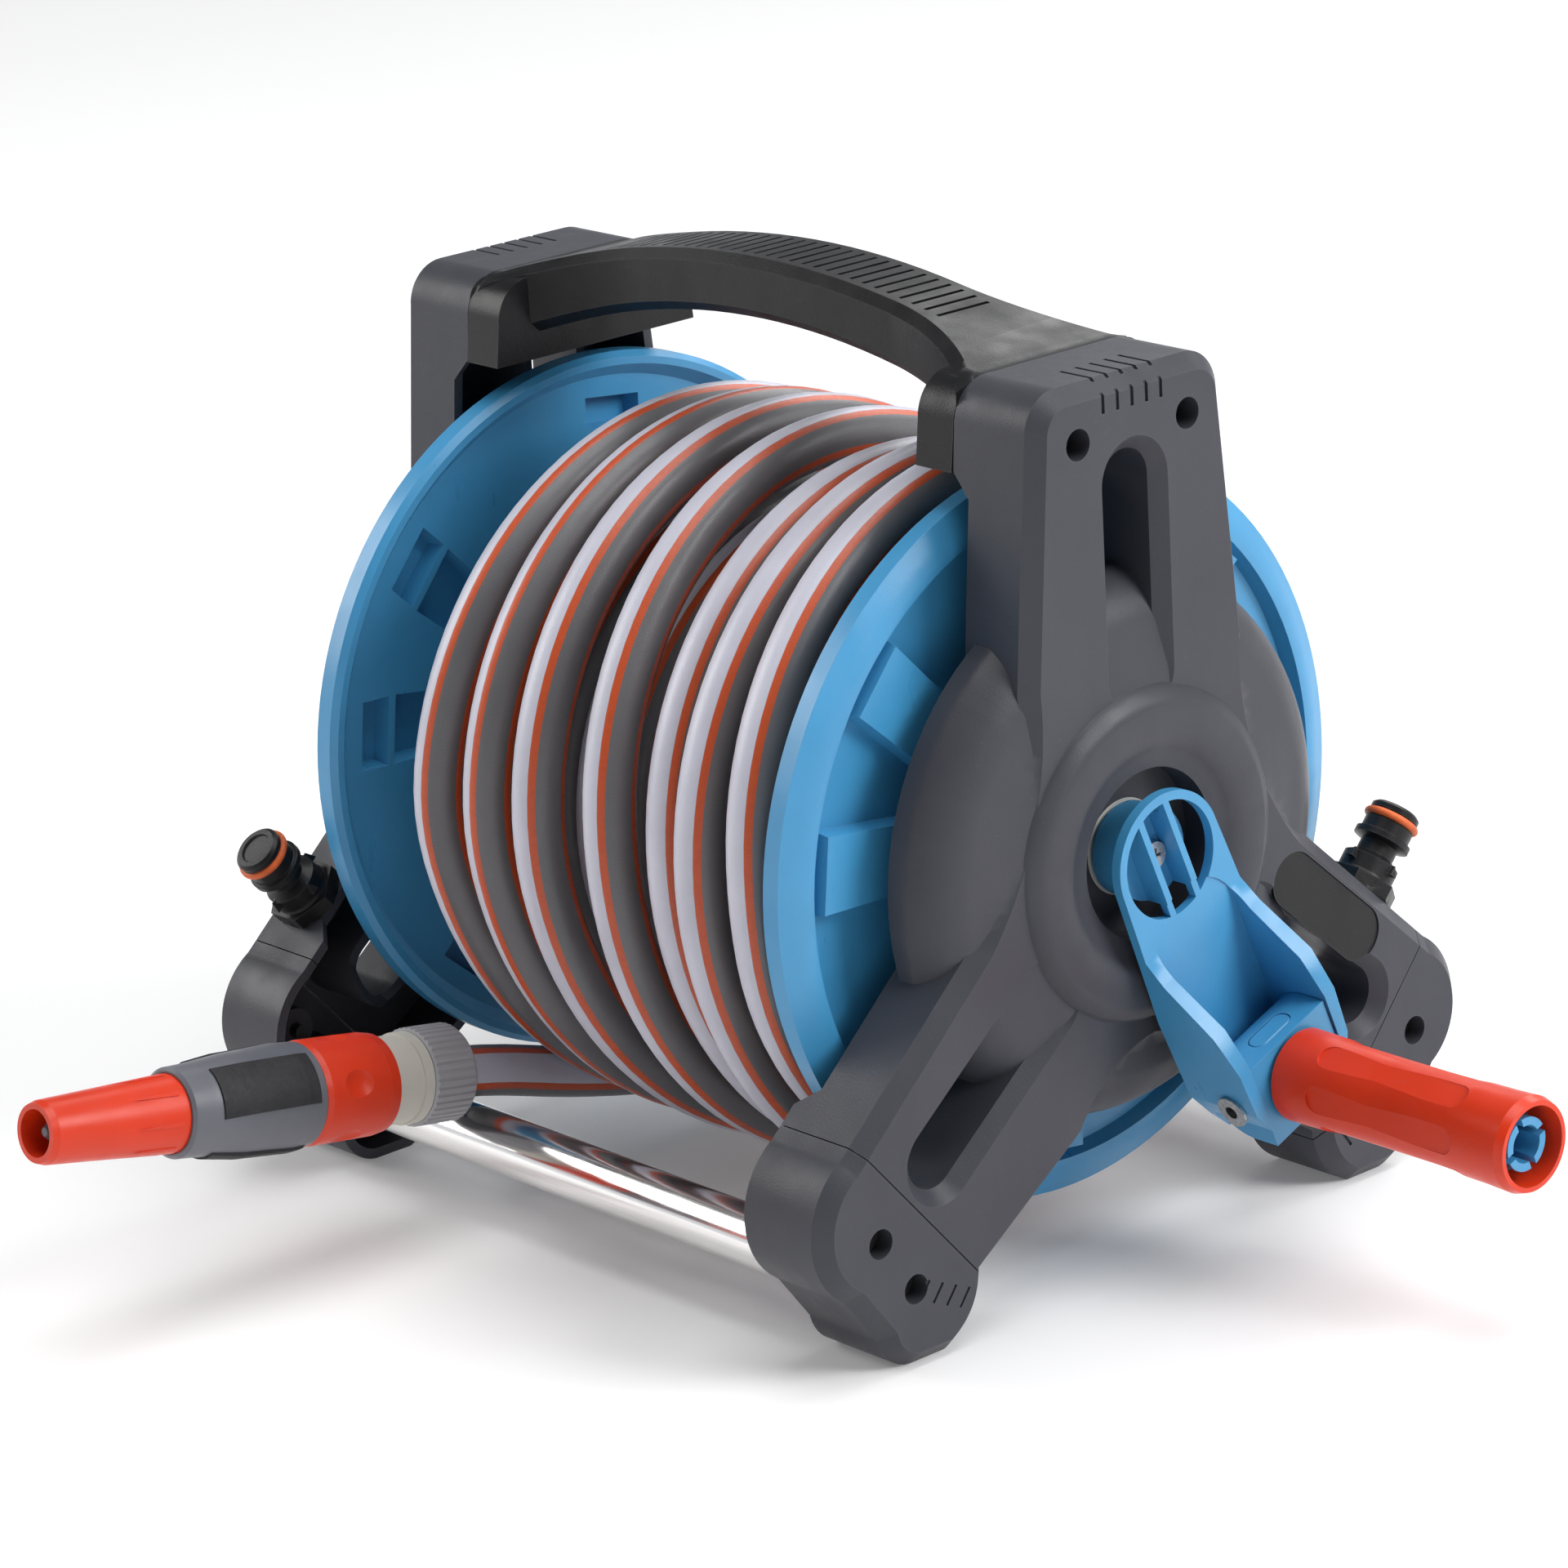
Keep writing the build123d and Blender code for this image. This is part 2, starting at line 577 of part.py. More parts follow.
def make_flange(side, name):
    """Flange: a thin dished plate with a rolled rim and pairs of hollow, raised spokes."""
    outer_face = PLATE_IN_X + PLATE_T
    with BuildPart() as flange:
        with BuildSketch(axial_plane(side)):
            with BuildLine():
                Polyline(
                    (101, SHAFT_R + 0.05),
                    (120.3, SHAFT_R + 0.05),
                    (120.3, 26),
                    (outer_face, 30),
                    (outer_face, 106.5),
                    (116.5, 108.5),
                    (116.5, 111.5),
                    (112.5, RIM_R),
                    (106, RIM_R),
                    (104, 118),
                    (104, 115.5),
                    (PLATE_IN_X, 111.5),
                    (PLATE_IN_X, BARREL_R - BARREL_WALL - 0.1),
                    (101, BARREL_R - BARREL_WALL - 0.1),
                    (101, BARREL_R - 2 * BARREL_WALL),
                    (PLATE_IN_X, BARREL_R - 2 * BARREL_WALL),
                    (PLATE_IN_X, 26),
                    (101, 24),
                    close=True,
                )
            make_face()
        revolve(axis=DRUM_AXIS)
        with BuildSketch(side_plane(PLATE_IN_X, side)):
            spokes(side, SPOKE_IN_R, SPOKE_OUT_R, 0)
        extrude(amount=SPOKE_TOP_X - PLATE_IN_X, taper=SPOKE_TAPER)
        for inner, outer in POCKETS:
            with BuildSketch(side_plane(PLATE_IN_X, side)):
                spokes(side, inner, outer, SPOKE_WALL)
            extrude(amount=SPOKE_TOP_X - PLATE_IN_X - SPOKE_WALL, taper=SPOKE_TAPER, mode=Mode.SUBTRACT)
    finish(flange, name)


def make_barrel():
    """Drum barrel with the window where the hose comes out."""
    with BuildPart() as barrel:
        with BuildSketch(side_plane(-PLATE_IN_X)):
            Circle(BARREL_R)
            Circle(BARREL_R - BARREL_WALL, mode=Mode.SUBTRACT)
        extrude(amount=2 * PLATE_IN_X)
        with BuildSketch(Plane(origin=place(OUTLET_X, 0, 0))):
            Circle(OUTLET_NUT_R + 1)
        extrude(amount=BARREL_R + 5, mode=Mode.SUBTRACT)
    finish(barrel, "drum_barrel")


def make_shafts():
    """Driving stub on the crank's side, and the hollow water shaft that reaches the hose tail."""
    with BuildPart() as drive:
        with BuildSketch(side_plane(96)):
            Circle(SHAFT_R)
        extrude(amount=RECESS_FLOOR_X + 1 - 96)
        with BuildSketch(side_plane(RECESS_FLOOR_X + 1)):
            Rectangle(SQUARE, SQUARE)
        extrude(amount=SQUARE_END_X - RECESS_FLOOR_X - 1)
        with BuildSketch(side_plane(SQUARE_END_X)):
            Circle(SCREW_R)
        extrude(amount=-22, mode=Mode.SUBTRACT)
    finish(drive, "drive_shaft")
    with BuildPart() as water:
        with BuildSketch(side_plane(-WATER_END_X)):
            Circle(SHAFT_R)
        extrude(amount=WATER_END_X + OUTLET_X + 12)
        with BuildSketch(side_plane(-WATER_END_X)):
            Circle(BORE_R)
        extrude(amount=WATER_END_X + OUTLET_X, mode=Mode.SUBTRACT)
        with BuildSketch(Plane(origin=place(OUTLET_X, 0, 0))):
            Circle(BORE_R + 3)
        extrude(amount=26)
        with BuildSketch(Plane(origin=place(OUTLET_X, 0, 0))):
            Circle(BORE_R)
        extrude(amount=30, mode=Mode.SUBTRACT)
        with BuildSketch(axial_plane(-1)):
            with Locations((SHAFT_SEAL_X, SHAFT_R)):
                Rectangle(3, 4.6)
        revolve(axis=DRUM_AXIS, mode=Mode.SUBTRACT)
    finish(water, "water_shaft")
    with BuildPart() as seal:
        with BuildSketch(axial_plane(-1)):
            with Locations((SHAFT_SEAL_X, SHAFT_R - 1.15)):
                Rectangle(2.2, 2.1)
        revolve(axis=DRUM_AXIS)
    finish(seal, "shaft_seal")


def make_outlet():
    """Barbed tail that the hose is pushed on, with its clamp nut, inside the barrel."""
    with BuildPart() as tail:
        with BuildSketch(Plane(origin=place(OUTLET_X, 0, 26))):
            Circle(BORE_R + 3)
            Circle(BORE_R - 1.5, mode=Mode.SUBTRACT)
        extrude(amount=8)
        with BuildSketch(Plane(origin=place(OUTLET_X, 0, 34))):
            Circle(6.4)
            Circle(BORE_R - 1.5, mode=Mode.SUBTRACT)
        extrude(amount=19)
    finish(tail, "hose_tail")
    with BuildPart() as nut:
        with BuildSketch(Plane(origin=place(OUTLET_X, 0, 34.2))):
            Circle(OUTLET_NUT_R)
            Circle(6.6, mode=Mode.SUBTRACT)
        extrude(amount=19)
        with BuildSketch(Plane(origin=place(OUTLET_X, 0, 34.2))):
            with PolarLocations(OUTLET_NUT_R, 12):
                Circle(1.1)
        extrude(amount=19, mode=Mode.SUBTRACT)
    finish(nut, "tail_nut")


def make_coil():
    """Outer shape of the wound hose: outer turns, and lower inner turns at the left end."""
    coil = turned(
        [
            (COIL_LEFT_X, BARREL_R + 0.3),
            (COIL_RIGHT_X, BARREL_R + 0.3),
            (COIL_RIGHT_X, COIL_R - 5),
            (COIL_RIGHT_X - 5, COIL_R),
            (COIL_STEP_X + 5, COIL_R),
            (COIL_STEP_X, COIL_R - 5),
            (COIL_STEP_X, COIL_LOW_R),
            (COIL_LEFT_X + 5, COIL_LOW_R),
            (COIL_LEFT_X, COIL_LOW_R - 5),
        ],
        axial_plane(1),
    )
    finish(coil, "hose_coil")


# ================================================================ water inlet
def make_inlet():
    """Swivel elbow on the water shaft, with a quick-coupling stub that hangs down."""
    with BuildPart() as elbow:
        with BuildSketch(axial_plane(-1)):
            with BuildLine():
                Polyline(
                    (RECESS_FLOOR_X + 1, SHAFT_R + RUN),
                    (WATER_END_X + 0.5, SHAFT_R + RUN),
                    (WATER_END_X + 0.5, 0),
                    (-INLET_OUTER_X, 0),
                    (-INLET_OUTER_X, 12),
                    (-INLET_OUTER_X - 4, 16),
                    (RECESS_FLOOR_X + 16, 17),
                    (RECESS_FLOOR_X + 4, 22),
                    (RECESS_FLOOR_X + 1, 22),
                    close=True,
                )
            make_face()
        revolve(axis=DRUM_AXIS)
        with BuildSketch(Plane(origin=place(-INLET_STUB_X, 0, -13), z_dir=(0, 0, -1))):
            Circle(10.5)
        extrude(amount=13)
        with BuildSketch(Plane(origin=place(-INLET_STUB_X, 0, -26), z_dir=(0, 0, -1))):
            RegularPolygon(radius=12.5, side_count=6)
        extrude(amount=5)
        with BuildSketch(Plane(origin=place(-INLET_STUB_X, 0, -31), z_dir=(0, 0, -1))):
            Circle(6.5)
        extrude(amount=5)
        with BuildSketch(Plane(origin=place(-INLET_STUB_X, 0, -36), z_dir=(0, 0, -1))):
            Circle(STUB_TIP_R)
        extrude(amount=14)
        with BuildSketch(Plane(origin=place(-INLET_STUB_X, 0, -44), z_dir=(0, 0, -1))):
            Circle(STUB_TIP_R + 1)
            Circle(STUB_TIP_R - 1.6, mode=Mode.SUBTRACT)
        extrude(amount=3, mode=Mode.SUBTRACT)
        with BuildSketch(Plane(origin=place(-INLET_STUB_X, 0, -51), z_dir=(0, 0, 1))):
            Circle(5)
        extrude(amount=51, mode=Mode.SUBTRACT)
        with BuildSketch(side_plane(-WATER_END_X)):
            Circle(BORE_R)
        extrude(amount=-(INLET_STUB_X - WATER_END_X + 4), mode=Mode.SUBTRACT)
    finish(elbow, "inlet_elbow")
    with BuildPart() as seal:
        with BuildSketch(Plane(origin=place(-INLET_STUB_X, 0, -44.2), z_dir=(0, 0, -1))):
            Circle(STUB_TIP_R - 0.02)
            Circle(STUB_TIP_R - 1.5, mode=Mode.SUBTRACT)
        extrude(amount=2.6)
    finish(seal, "inlet_seal")


# ================================================================ crank
def arm_point(radius, across, x):
    """A point on the crank: distance down the arm, distance across it, and x."""
    lean = radians(CRANK_TURN)
    y = radius * sin(lean) + across * cos(lean)
    z = -radius * cos(lean) + across * sin(lean)
    return place(x, y, z)


def arm_face_plane(x):
    """Across the drum axis: local x runs across the arm, local y up the arm."""
    lean = radians(CRANK_TURN)
    return Plane(origin=place(x, 0, 0), x_dir=(0, cos(lean), sin(lean)), z_dir=(1, 0, 0))


def arm_side_plane(across):
    """Along the arm and the drum axis: local x is outwards, local y down the arm."""
    lean = radians(CRANK_TURN)
    return Plane(
        origin=arm_point(0, across, 0),
        x_dir=(1, 0, 0),
        z_dir=(0, cos(lean), sin(lean)),
    )


def button_plane(height):
    """Face of the grip's knuckle that looks back up the arm, where the fold button sits."""
    lean = radians(CRANK_TURN)
    up = Vector(0, -sin(lean), cos(lean))
    origin = Vector(*arm_point(ARM_R, 0, PIN_X + 1.5)) + up * height
    return Plane(origin=origin, x_dir=(0, cos(lean), sin(lean)), z_dir=up)


def arm_outline():
    """Outline of the arm seen along the drum axis."""
    hub, end = ARM_HUB_R, ARM_END_R
    Polyline(
        (-hub, 0),
        (-end - 1.5, -48),
        (-end, -ARM_R),
        (-end * 0.62, -ARM_R - end * 0.86 + 1),
        (end * 0.62, -ARM_R - end * 0.86 + 1),
        (end, -ARM_R),
        (end + 1.5, -48),
        (hub, 0),
    )
    ThreePointArc((hub, 0), (0, hub), (-hub, 0))


def make_crank():
    """Crank arm: an open channel with high cheeks where the grip folds in."""
    with BuildPart() as arm:
        with BuildSketch(arm_face_plane(ARM_BACK_X)):
            with BuildLine():
                arm_outline()
            make_face()
        extrude(amount=CHEEK_X - ARM_BACK_X)
        with BuildSketch(arm_side_plane(0)):
            with BuildLine():
                Polyline(
                    (ARM_BACK_X, -ARM_HUB_R - 1),
                    (HUB_RIM_X, -ARM_HUB_R - 1),
                    (HUB_RIM_X, 24),
                    (HUB_RIM_X + 5, 32),
                    (CHEEK_X - 5, 48),
                    (CHEEK_X, 62),
                    (CHEEK_X, 90),
                    (CHEEK_X - 4, 97),
                    (CHEEK_X - 14, 101),
                    (ARM_BACK_X + 5, 101),
                    (ARM_BACK_X, 90),
                    close=True,
                )
            make_face()
        extrude(amount=60, both=True, mode=Mode.INTERSECT)
        with BuildSketch(side_plane(RECESS_FLOOR_X + 1.5)):
            Circle(ARM_SPIGOT_R)
        extrude(amount=ARM_BACK_X - RECESS_FLOOR_X - 1.4)
        with BuildSketch(arm_face_plane(ARM_BACK_X + 3)):
            with Locations((0, -(30 + 106) / 2)):
                Rectangle(2 * (KNUCKLE_HALF + 0.4), 106 - 30)
            with Locations((0, -30)):
                Circle(KNUCKLE_HALF + 0.4)
        extrude(amount=60, mode=Mode.SUBTRACT)
        with BuildSketch(arm_face_plane(HUB_RIM_X)):
            Circle(ARM_HUB_R - 3)
            with Locations((-RIB_AT, 0), (RIB_AT, 0)):
                Rectangle(RIB_T, 2 * ARM_HUB_R, mode=Mode.SUBTRACT)
        extrude(amount=-HUB_POCKET, mode=Mode.SUBTRACT)
        with BuildSketch(side_plane(RECESS_FLOOR_X)):
            Rectangle(SQUARE + 0.2, SQUARE + 0.2)
        extrude(amount=SQUARE_END_X + 0.2 - RECESS_FLOOR_X, mode=Mode.SUBTRACT)
        with BuildSketch(side_plane(RECESS_FLOOR_X)):
            Circle(SCREW_R + 0.2)
        extrude(amount=60, mode=Mode.SUBTRACT)
        with BuildSketch(arm_side_plane(0)):
            with Locations((PIN_X, ARM_R)):
                Circle(PIN_R + 0.05)
        extrude(amount=60, both=True, mode=Mode.SUBTRACT)
    finish(arm, "crank_arm")
    screw_seat = HUB_RIM_X - HUB_POCKET + 0.05
    with BuildPart() as screw:
        with BuildSketch(side_plane(screw_seat)):
            Circle(SCREW_HEAD_R)
        extrude(amount=2.6)
        with BuildSketch(side_plane(screw_seat)):
            Circle(SCREW_R - 0.1)
        extrude(amount=-20)
        with BuildSketch(side_plane(screw_seat + 2.6)):
            Rectangle(4.6, 1)
            Rectangle(1, 4.6)
        extrude(amount=-1.4, mode=Mode.SUBTRACT)
    finish(screw, "crank_screw")
    with BuildPart() as pin:
        with BuildSketch(arm_side_plane(-ARM_END_R - PIN_END_AT - PIN_END_T)):
            with Locations((PIN_X, ARM_R)):
                Circle(PIN_R)
                Circle(PIN_R - 1.2, mode=Mode.SUBTRACT)
        extrude(amount=2 * (ARM_END_R + PIN_END_AT + PIN_END_T))
        for way in (-1, 1):
            with BuildSketch(arm_side_plane(way * (ARM_END_R + PIN_END_AT))):
                with Locations((PIN_X, ARM_R)):
                    Circle(PIN_R + 2)
                    Circle(PIN_R - 1.2, mode=Mode.SUBTRACT)
            extrude(amount=way * PIN_END_T)
    finish(pin, "fold_pin")


def panel_plane(angle):
    """A flat panel of the grip's sleeve, facing out at an angle round the grip."""
    turn = radians(angle)
    out = Vector(0, cos(turn), sin(turn))
    middle = Vector(*arm_point(ARM_R, 0, GRIP_START_X + 15 + PANEL_LONG / 2))
    return Plane(origin=middle + out * PANEL_FLAT_R, x_dir=(1, 0, 0), z_dir=out)


def make_grip():
    """Blue core that folds about the pin, and the orange sleeve that spins on it."""
    center = arm_point(ARM_R, 0, 0)
    grip_axis = Axis(center, (1, 0, 0))
    across = arm_face_plane(PIN_X).x_dir
    lean_plane = Plane(origin=center, x_dir=(1, 0, 0), z_dir=across)
    with BuildPart() as core:
        with BuildSketch(arm_side_plane(-KNUCKLE_HALF)):
            with Locations((PIN_X, ARM_R)):
                Circle(KNUCKLE_R)
            with Locations(((PIN_X + GRIP_START_X - 0.6) / 2, ARM_R)):
                Rectangle(GRIP_START_X - 0.6 - PIN_X, 2 * KNUCKLE_R)
        extrude(amount=2 * KNUCKLE_HALF)
        split(bisect_by=side_plane(GRIP_START_X - 0.6), keep=Keep.BOTTOM)
        with BuildSketch(lean_plane):
            with BuildLine():
                Polyline(
                    (PIN_X, 0),
                    (PIN_X, CORE_R),
                    (GRIP_END_X - 14, CORE_R),
                    (GRIP_END_X - 13, CORE_R + 0.9),
                    (GRIP_END_X - 9, CORE_R - 1.4),
                    (GRIP_END_X - 8, SNOUT_R),
                    (GRIP_END_X - 3, SNOUT_R),
                    (GRIP_END_X - 3, 0),
                    close=True,
                )
            make_face()
        revolve(axis=grip_axis)
        mouth = Plane(origin=arm_point(ARM_R, 0, GRIP_END_X - 3), x_dir=across, z_dir=(1, 0, 0))
        with BuildSketch(mouth):
            Circle(SNOUT_R - 2.6)
            Rectangle(2.4, 40)
            Rectangle(40, 2.4)
        extrude(amount=-30, mode=Mode.SUBTRACT)
        with BuildSketch(arm_side_plane(0)):
            with Locations((PIN_X, ARM_R)):
                Circle(PIN_R + RUN)
        extrude(amount=60, both=True, mode=Mode.SUBTRACT)
        with BuildSketch(button_plane(KNUCKLE_R)):
            SlotOverall(BUTTON_LONG + 0.4, BUTTON_WIDE + 0.4)
        extrude(amount=-BUTTON_DEEP, mode=Mode.SUBTRACT)
    finish(core, "grip_core")
    with BuildPart() as button:
        with BuildSketch(button_plane(KNUCKLE_R - BUTTON_DEEP + BUTTON_TRAVEL + 0.2)):
            SlotOverall(BUTTON_LONG, BUTTON_WIDE)
        extrude(amount=BUTTON_DEEP - BUTTON_TRAVEL - 0.2)
        chamfer(button.faces().sort_by(Axis(center, button_plane(0).z_dir))[-1].edges(), length=0.5)
    finish(button, "fold_button")
    sleeve = turned(
        [
            (GRIP_START_X, CORE_R + RUN),
            (GRIP_START_X, GRIP_R - 1),
            (GRIP_START_X + 1, GRIP_R),
            (GRIP_START_X + 40, GRIP_R - 0.7),
            (GRIP_END_X - 12, GRIP_R),
            (GRIP_END_X - 3, GRIP_R + 0.4),
            (GRIP_END_X, GRIP_R - 0.6),
            (GRIP_END_X, GRIP_R - 2.2),
            (GRIP_END_X - 7.5, GRIP_R - 2.6),
            (GRIP_END_X - 14.5, CORE_R + 1.4),
            (GRIP_END_X - 14.5, CORE_R + RUN),
        ],
        lean_plane,
        grip_axis,
    )
    with BuildPart() as panelled:
        add(sleeve.part)
        for k in range(PANEL_COUNT):
            with BuildSketch(panel_plane(360 / PANEL_COUNT * k)):
                SlotOverall(PANEL_LONG, PANEL_WIDE)
            extrude(amount=4, mode=Mode.SUBTRACT)
    finish(panelled, "grip_sleeve")


# ================================================================ free hose and nozzle
def nozzle_direction():
    """Unit vector from the hose towards the nozzle's mouth."""
    rise = radians(NOZZLE_RISE)
    return Vector(0, -cos(rise), sin(rise))


def nozzle_plane(along):
    """Square to the nozzle at a distance from the hose nut's open end."""
    way = nozzle_direction()
    return Plane(origin=Vector(*place(*NOZZLE_START)) + way * along, x_dir=(1, 0, 0), z_dir=way)


def nozzle_point(along, radius, angle):
    """A point beside the nozzle's axis."""
    plane = nozzle_plane(along)
    turn = radians(angle)
    return plane.origin + plane.x_dir * radius * cos(turn) + plane.y_dir * radius * sin(turn)


def nozzle_piece(profile):
    """A piece turned about the nozzle's axis from (along, radius) points."""
    start = Vector(*place(*NOZZLE_START))
    way = nozzle_direction()
    return turned(profile, Plane(origin=start, x_dir=way, z_dir=(1, 0, 0)), Axis(start, way))


def make_nozzle_set():
    """Quick connector on the hose's end and the twist nozzle clicked on it."""
    nut = nozzle_piece([(0, HOSE_R + 0.3), (0, 15.4), (1, 16.2), (16, 16.2), (17, 15.4), (17, HOSE_R + 0.3)])
    with BuildPart() as ribbed:
        add(nut.part)
        with BuildSketch(nozzle_plane(-1)):
            with PolarLocations(16.7, NUT_RIBS):
                Circle(0.9)
        extrude(amount=20, mode=Mode.SUBTRACT)
    finish(ribbed, "hose_nut")
    body = nozzle_piece([
        (17.2, 4), (17.2, 15.2), (21, 15.2), (21, 14.5), (52, 14.5),
        (52, 11.2), (44, 11.2), (44, 4),
    ])
    finish(body, "connector_body")
    sleeve = nozzle_piece([
        (SLEEVE_START, 14.5 + RUN), (SLEEVE_START, 16.2), (SLEEVE_START + 4, 16.9),
        (SLEEVE_END - 2, 17.2), (SLEEVE_END, 16.6), (SLEEVE_END, 14.5 + RUN),
    ])
    with BuildPart() as dimpled:
        add(sleeve.part)
        for k in range(5):
            dimple = nozzle_point((SLEEVE_START + SLEEVE_END) / 2 + 2, DIMPLE_AT, 72 * k + 20)
            with Locations(dimple):
                Sphere(DIMPLE_R, mode=Mode.SUBTRACT)
    finish(dimpled, "connector_sleeve")
    nozzle = nozzle_piece([
        (45, 4.5), (45, 10.8), (52.6, 10.8), (52.6, 14.2), (SLEEVE_END + 0.4, 14.2),
        (SLEEVE_END + 0.4, 16.9), (70, 17.3), (90, 16.4), (104, 15.0), (112, 14.6), (113, 13.6),
        (113, 12.9), (104, 12.9), (104, 6.0), (118, 6.0), (118, 4.5),
    ])
    finish(nozzle, "nozzle_body")
    pad_ring = nozzle_piece([
        (65, 17.15), (70, 17.35), (90, 16.45), (102, 15.25), (102, 15.9), (90, 17.5), (70, 18.2), (66, 17.8),
    ])
    with BuildPart() as pads:
        add(pad_ring.part)
        with BuildSketch(nozzle_plane(60)):
            for turn in PAD_TURNS:
                with Locations(Rotation(0, 0, turn)):
                    with Locations((14, 0)):
                        Rectangle(20, 17)
        extrude(amount=50, mode=Mode.INTERSECT)
    finish(pads, "nozzle_pads")
    tip = nozzle_piece([
        (104.4, 6.0 + RUN), (104.4, 12.9 - RUN), (114, 12.7), (161, 10.2), (163.5, 9.4),
        (163.5, 7.6), (152, 6.8), (152, 4.0), (149, 4.0), (149, 6.0 + RUN),
    ])
    with BuildPart() as tip_piece:
        add(tip.part)
        with BuildSketch(nozzle_plane(116)):
            with PolarLocations(12.2, 8):
                Rectangle(1.6, 1.6)
        extrude(amount=30, taper=2.6)
    finish(tip_piece, "nozzle_tip")
    pin = nozzle_piece([
        (118.2, 0), (118.2, 4.6), (124, 4.6), (124, 2.6), (158.5, 2.6), (160, 1.4), (160, 0),
    ])
    finish(pin, "nozzle_pin")


def make_lead():
    """The free end of the hose: straight runs joined by tangent arcs."""
    points = [Vector(*place(*point)) for point in LEAD_POINTS]
    radii = []
    for before, corner, after in zip(points, points[1:], points[2:]):
        turn = radians((corner - before).get_angle(after - corner))
        shorter = min((corner - before).length, (after - corner).length)
        radii.append(0.45 * shorter / tan(turn / 2))
    print("hose lead radii, mm:", [round(radius) for radius in radii])
    with BuildPart() as lead:
        with BuildLine() as path:
            FilletPolyline(*points, radius=radii)
        route = path.wire()
        with BuildSketch(Plane(origin=route @ 0, z_dir=route % 0)):
            Circle(HOSE_R)
        sweep(path=route)
    print("hose lead length, mm:", round(route.length, 1))
    print("volume against section by length:", lead.part.volume / (pi * HOSE_R**2 * route.length))
    finish(lead, "hose_lead")


# ================================================================ build
for side, end in ((1, "right"), (-1, "left")):
    blank = side_blank(side)
    make_side_frame(side, f"{end}_frame", blank)
    for leg in (1, -1):
        place_name = "rear" if side * leg > 0 else "front"
        make_foot_cap(side, leg, f"foot_cap_{end}_{place_name}", blank)
    make_bush(side, f"{end}_bush")
    make_badge(side, f"{end}_badge")
    make_stub(side, f"{end}_parking_stub", f"{end}_stub_seal")
    make_flange(side, f"{end}_flange")

make_handle()
make_tube(-1, "front_tube")
make_tube(1, "rear_tube")

handle_places = [
    (side, SCREW_SEAT_X, u, HANDLE_SCREW_Z)
    for side in (1, -1)
    for u in (-HANDLE_SCREW_Y, HANDLE_SCREW_Y)
]
make_screws(handle_places, HANDLE_SCREW_LONG, "handle_screws")
foot_places = [
    (side, FOOT_SCREW_SEAT_X, leg * u, v)
    for side in (1, -1)
    for leg in (1, -1)
    for u, v in FOOT_SCREWS
]
make_screws(foot_places, FOOT_SCREW_LONG, "foot_screws")

make_barrel()
make_shafts()
make_outlet()
make_coil()
make_inlet()
make_crank()
make_grip()
make_nozzle_set()
make_lead()
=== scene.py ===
import json
from math import cos, pi, radians, sin

import bpy
import numpy as np
from mathutils import Matrix, Vector


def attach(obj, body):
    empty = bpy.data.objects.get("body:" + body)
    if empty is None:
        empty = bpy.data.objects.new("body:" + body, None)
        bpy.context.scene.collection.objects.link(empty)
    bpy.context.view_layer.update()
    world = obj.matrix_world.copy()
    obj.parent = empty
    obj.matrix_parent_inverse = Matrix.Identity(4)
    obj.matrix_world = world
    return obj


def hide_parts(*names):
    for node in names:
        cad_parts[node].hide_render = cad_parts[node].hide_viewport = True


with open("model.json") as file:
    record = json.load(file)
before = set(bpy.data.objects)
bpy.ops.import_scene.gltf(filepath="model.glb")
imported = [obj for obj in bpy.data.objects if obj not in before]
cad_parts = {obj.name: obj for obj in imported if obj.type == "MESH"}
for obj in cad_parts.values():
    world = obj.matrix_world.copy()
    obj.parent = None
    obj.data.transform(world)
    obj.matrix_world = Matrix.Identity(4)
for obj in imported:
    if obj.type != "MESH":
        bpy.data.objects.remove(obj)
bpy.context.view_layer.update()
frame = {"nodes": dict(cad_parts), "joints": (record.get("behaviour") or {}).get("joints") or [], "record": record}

NODES = frame["nodes"]
JOINTS = {joint["name"]: joint for joint in frame["joints"]}
HUB = Vector(JOINTS["drum_spin"]["pos_m"])
MM = 0.001


def hub_point(x, y, z):
    """A point given in millimetres from the middle of the drum, in the row frame."""
    return HUB + Vector((x, y, z)) * MM


# ---------------------------------------------------------------- camera
CAMERA_TURN = 48.763          # degrees round the drum from straight in front
CAMERA_RISE = 18.011          # degrees above the drum axis
CAMERA_ROLL = -3.175          # degrees
CAMERA_AWAY = 1.97308         # metres from the middle of the drum, along the view
CAMERA_ASIDE = -0.011439      # metres
CAMERA_UP = -0.0081216        # metres
CAMERA_LENS = 138.34          # millimetres
SENSOR_WIDTH = 36.0           # millimetres


def make_camera():
    turn, rise, roll = (radians(a) for a in (CAMERA_TURN, CAMERA_RISE, CAMERA_ROLL))
    back = Vector((sin(turn) * cos(rise), -cos(turn) * cos(rise), sin(rise)))
    right = Vector((cos(turn), sin(turn), 0))
    up = back.cross(right)
    right_rolled = right * cos(roll) + up * sin(roll)
    up_rolled = up * cos(roll) - right * sin(roll)
    data = bpy.data.cameras.new("camera")
    data.lens = CAMERA_LENS
    data.sensor_width = SENSOR_WIDTH
    camera = bpy.data.objects.new("camera", data)
    bpy.context.scene.collection.objects.link(camera)
    place = HUB + back * CAMERA_AWAY + right_rolled * CAMERA_ASIDE + up_rolled * CAMERA_UP
    axes = Matrix((right_rolled, up_rolled, back)).transposed().to_4x4()
    camera.matrix_world = Matrix.Translation(place) @ axes
    bpy.context.scene.camera = camera


make_camera()


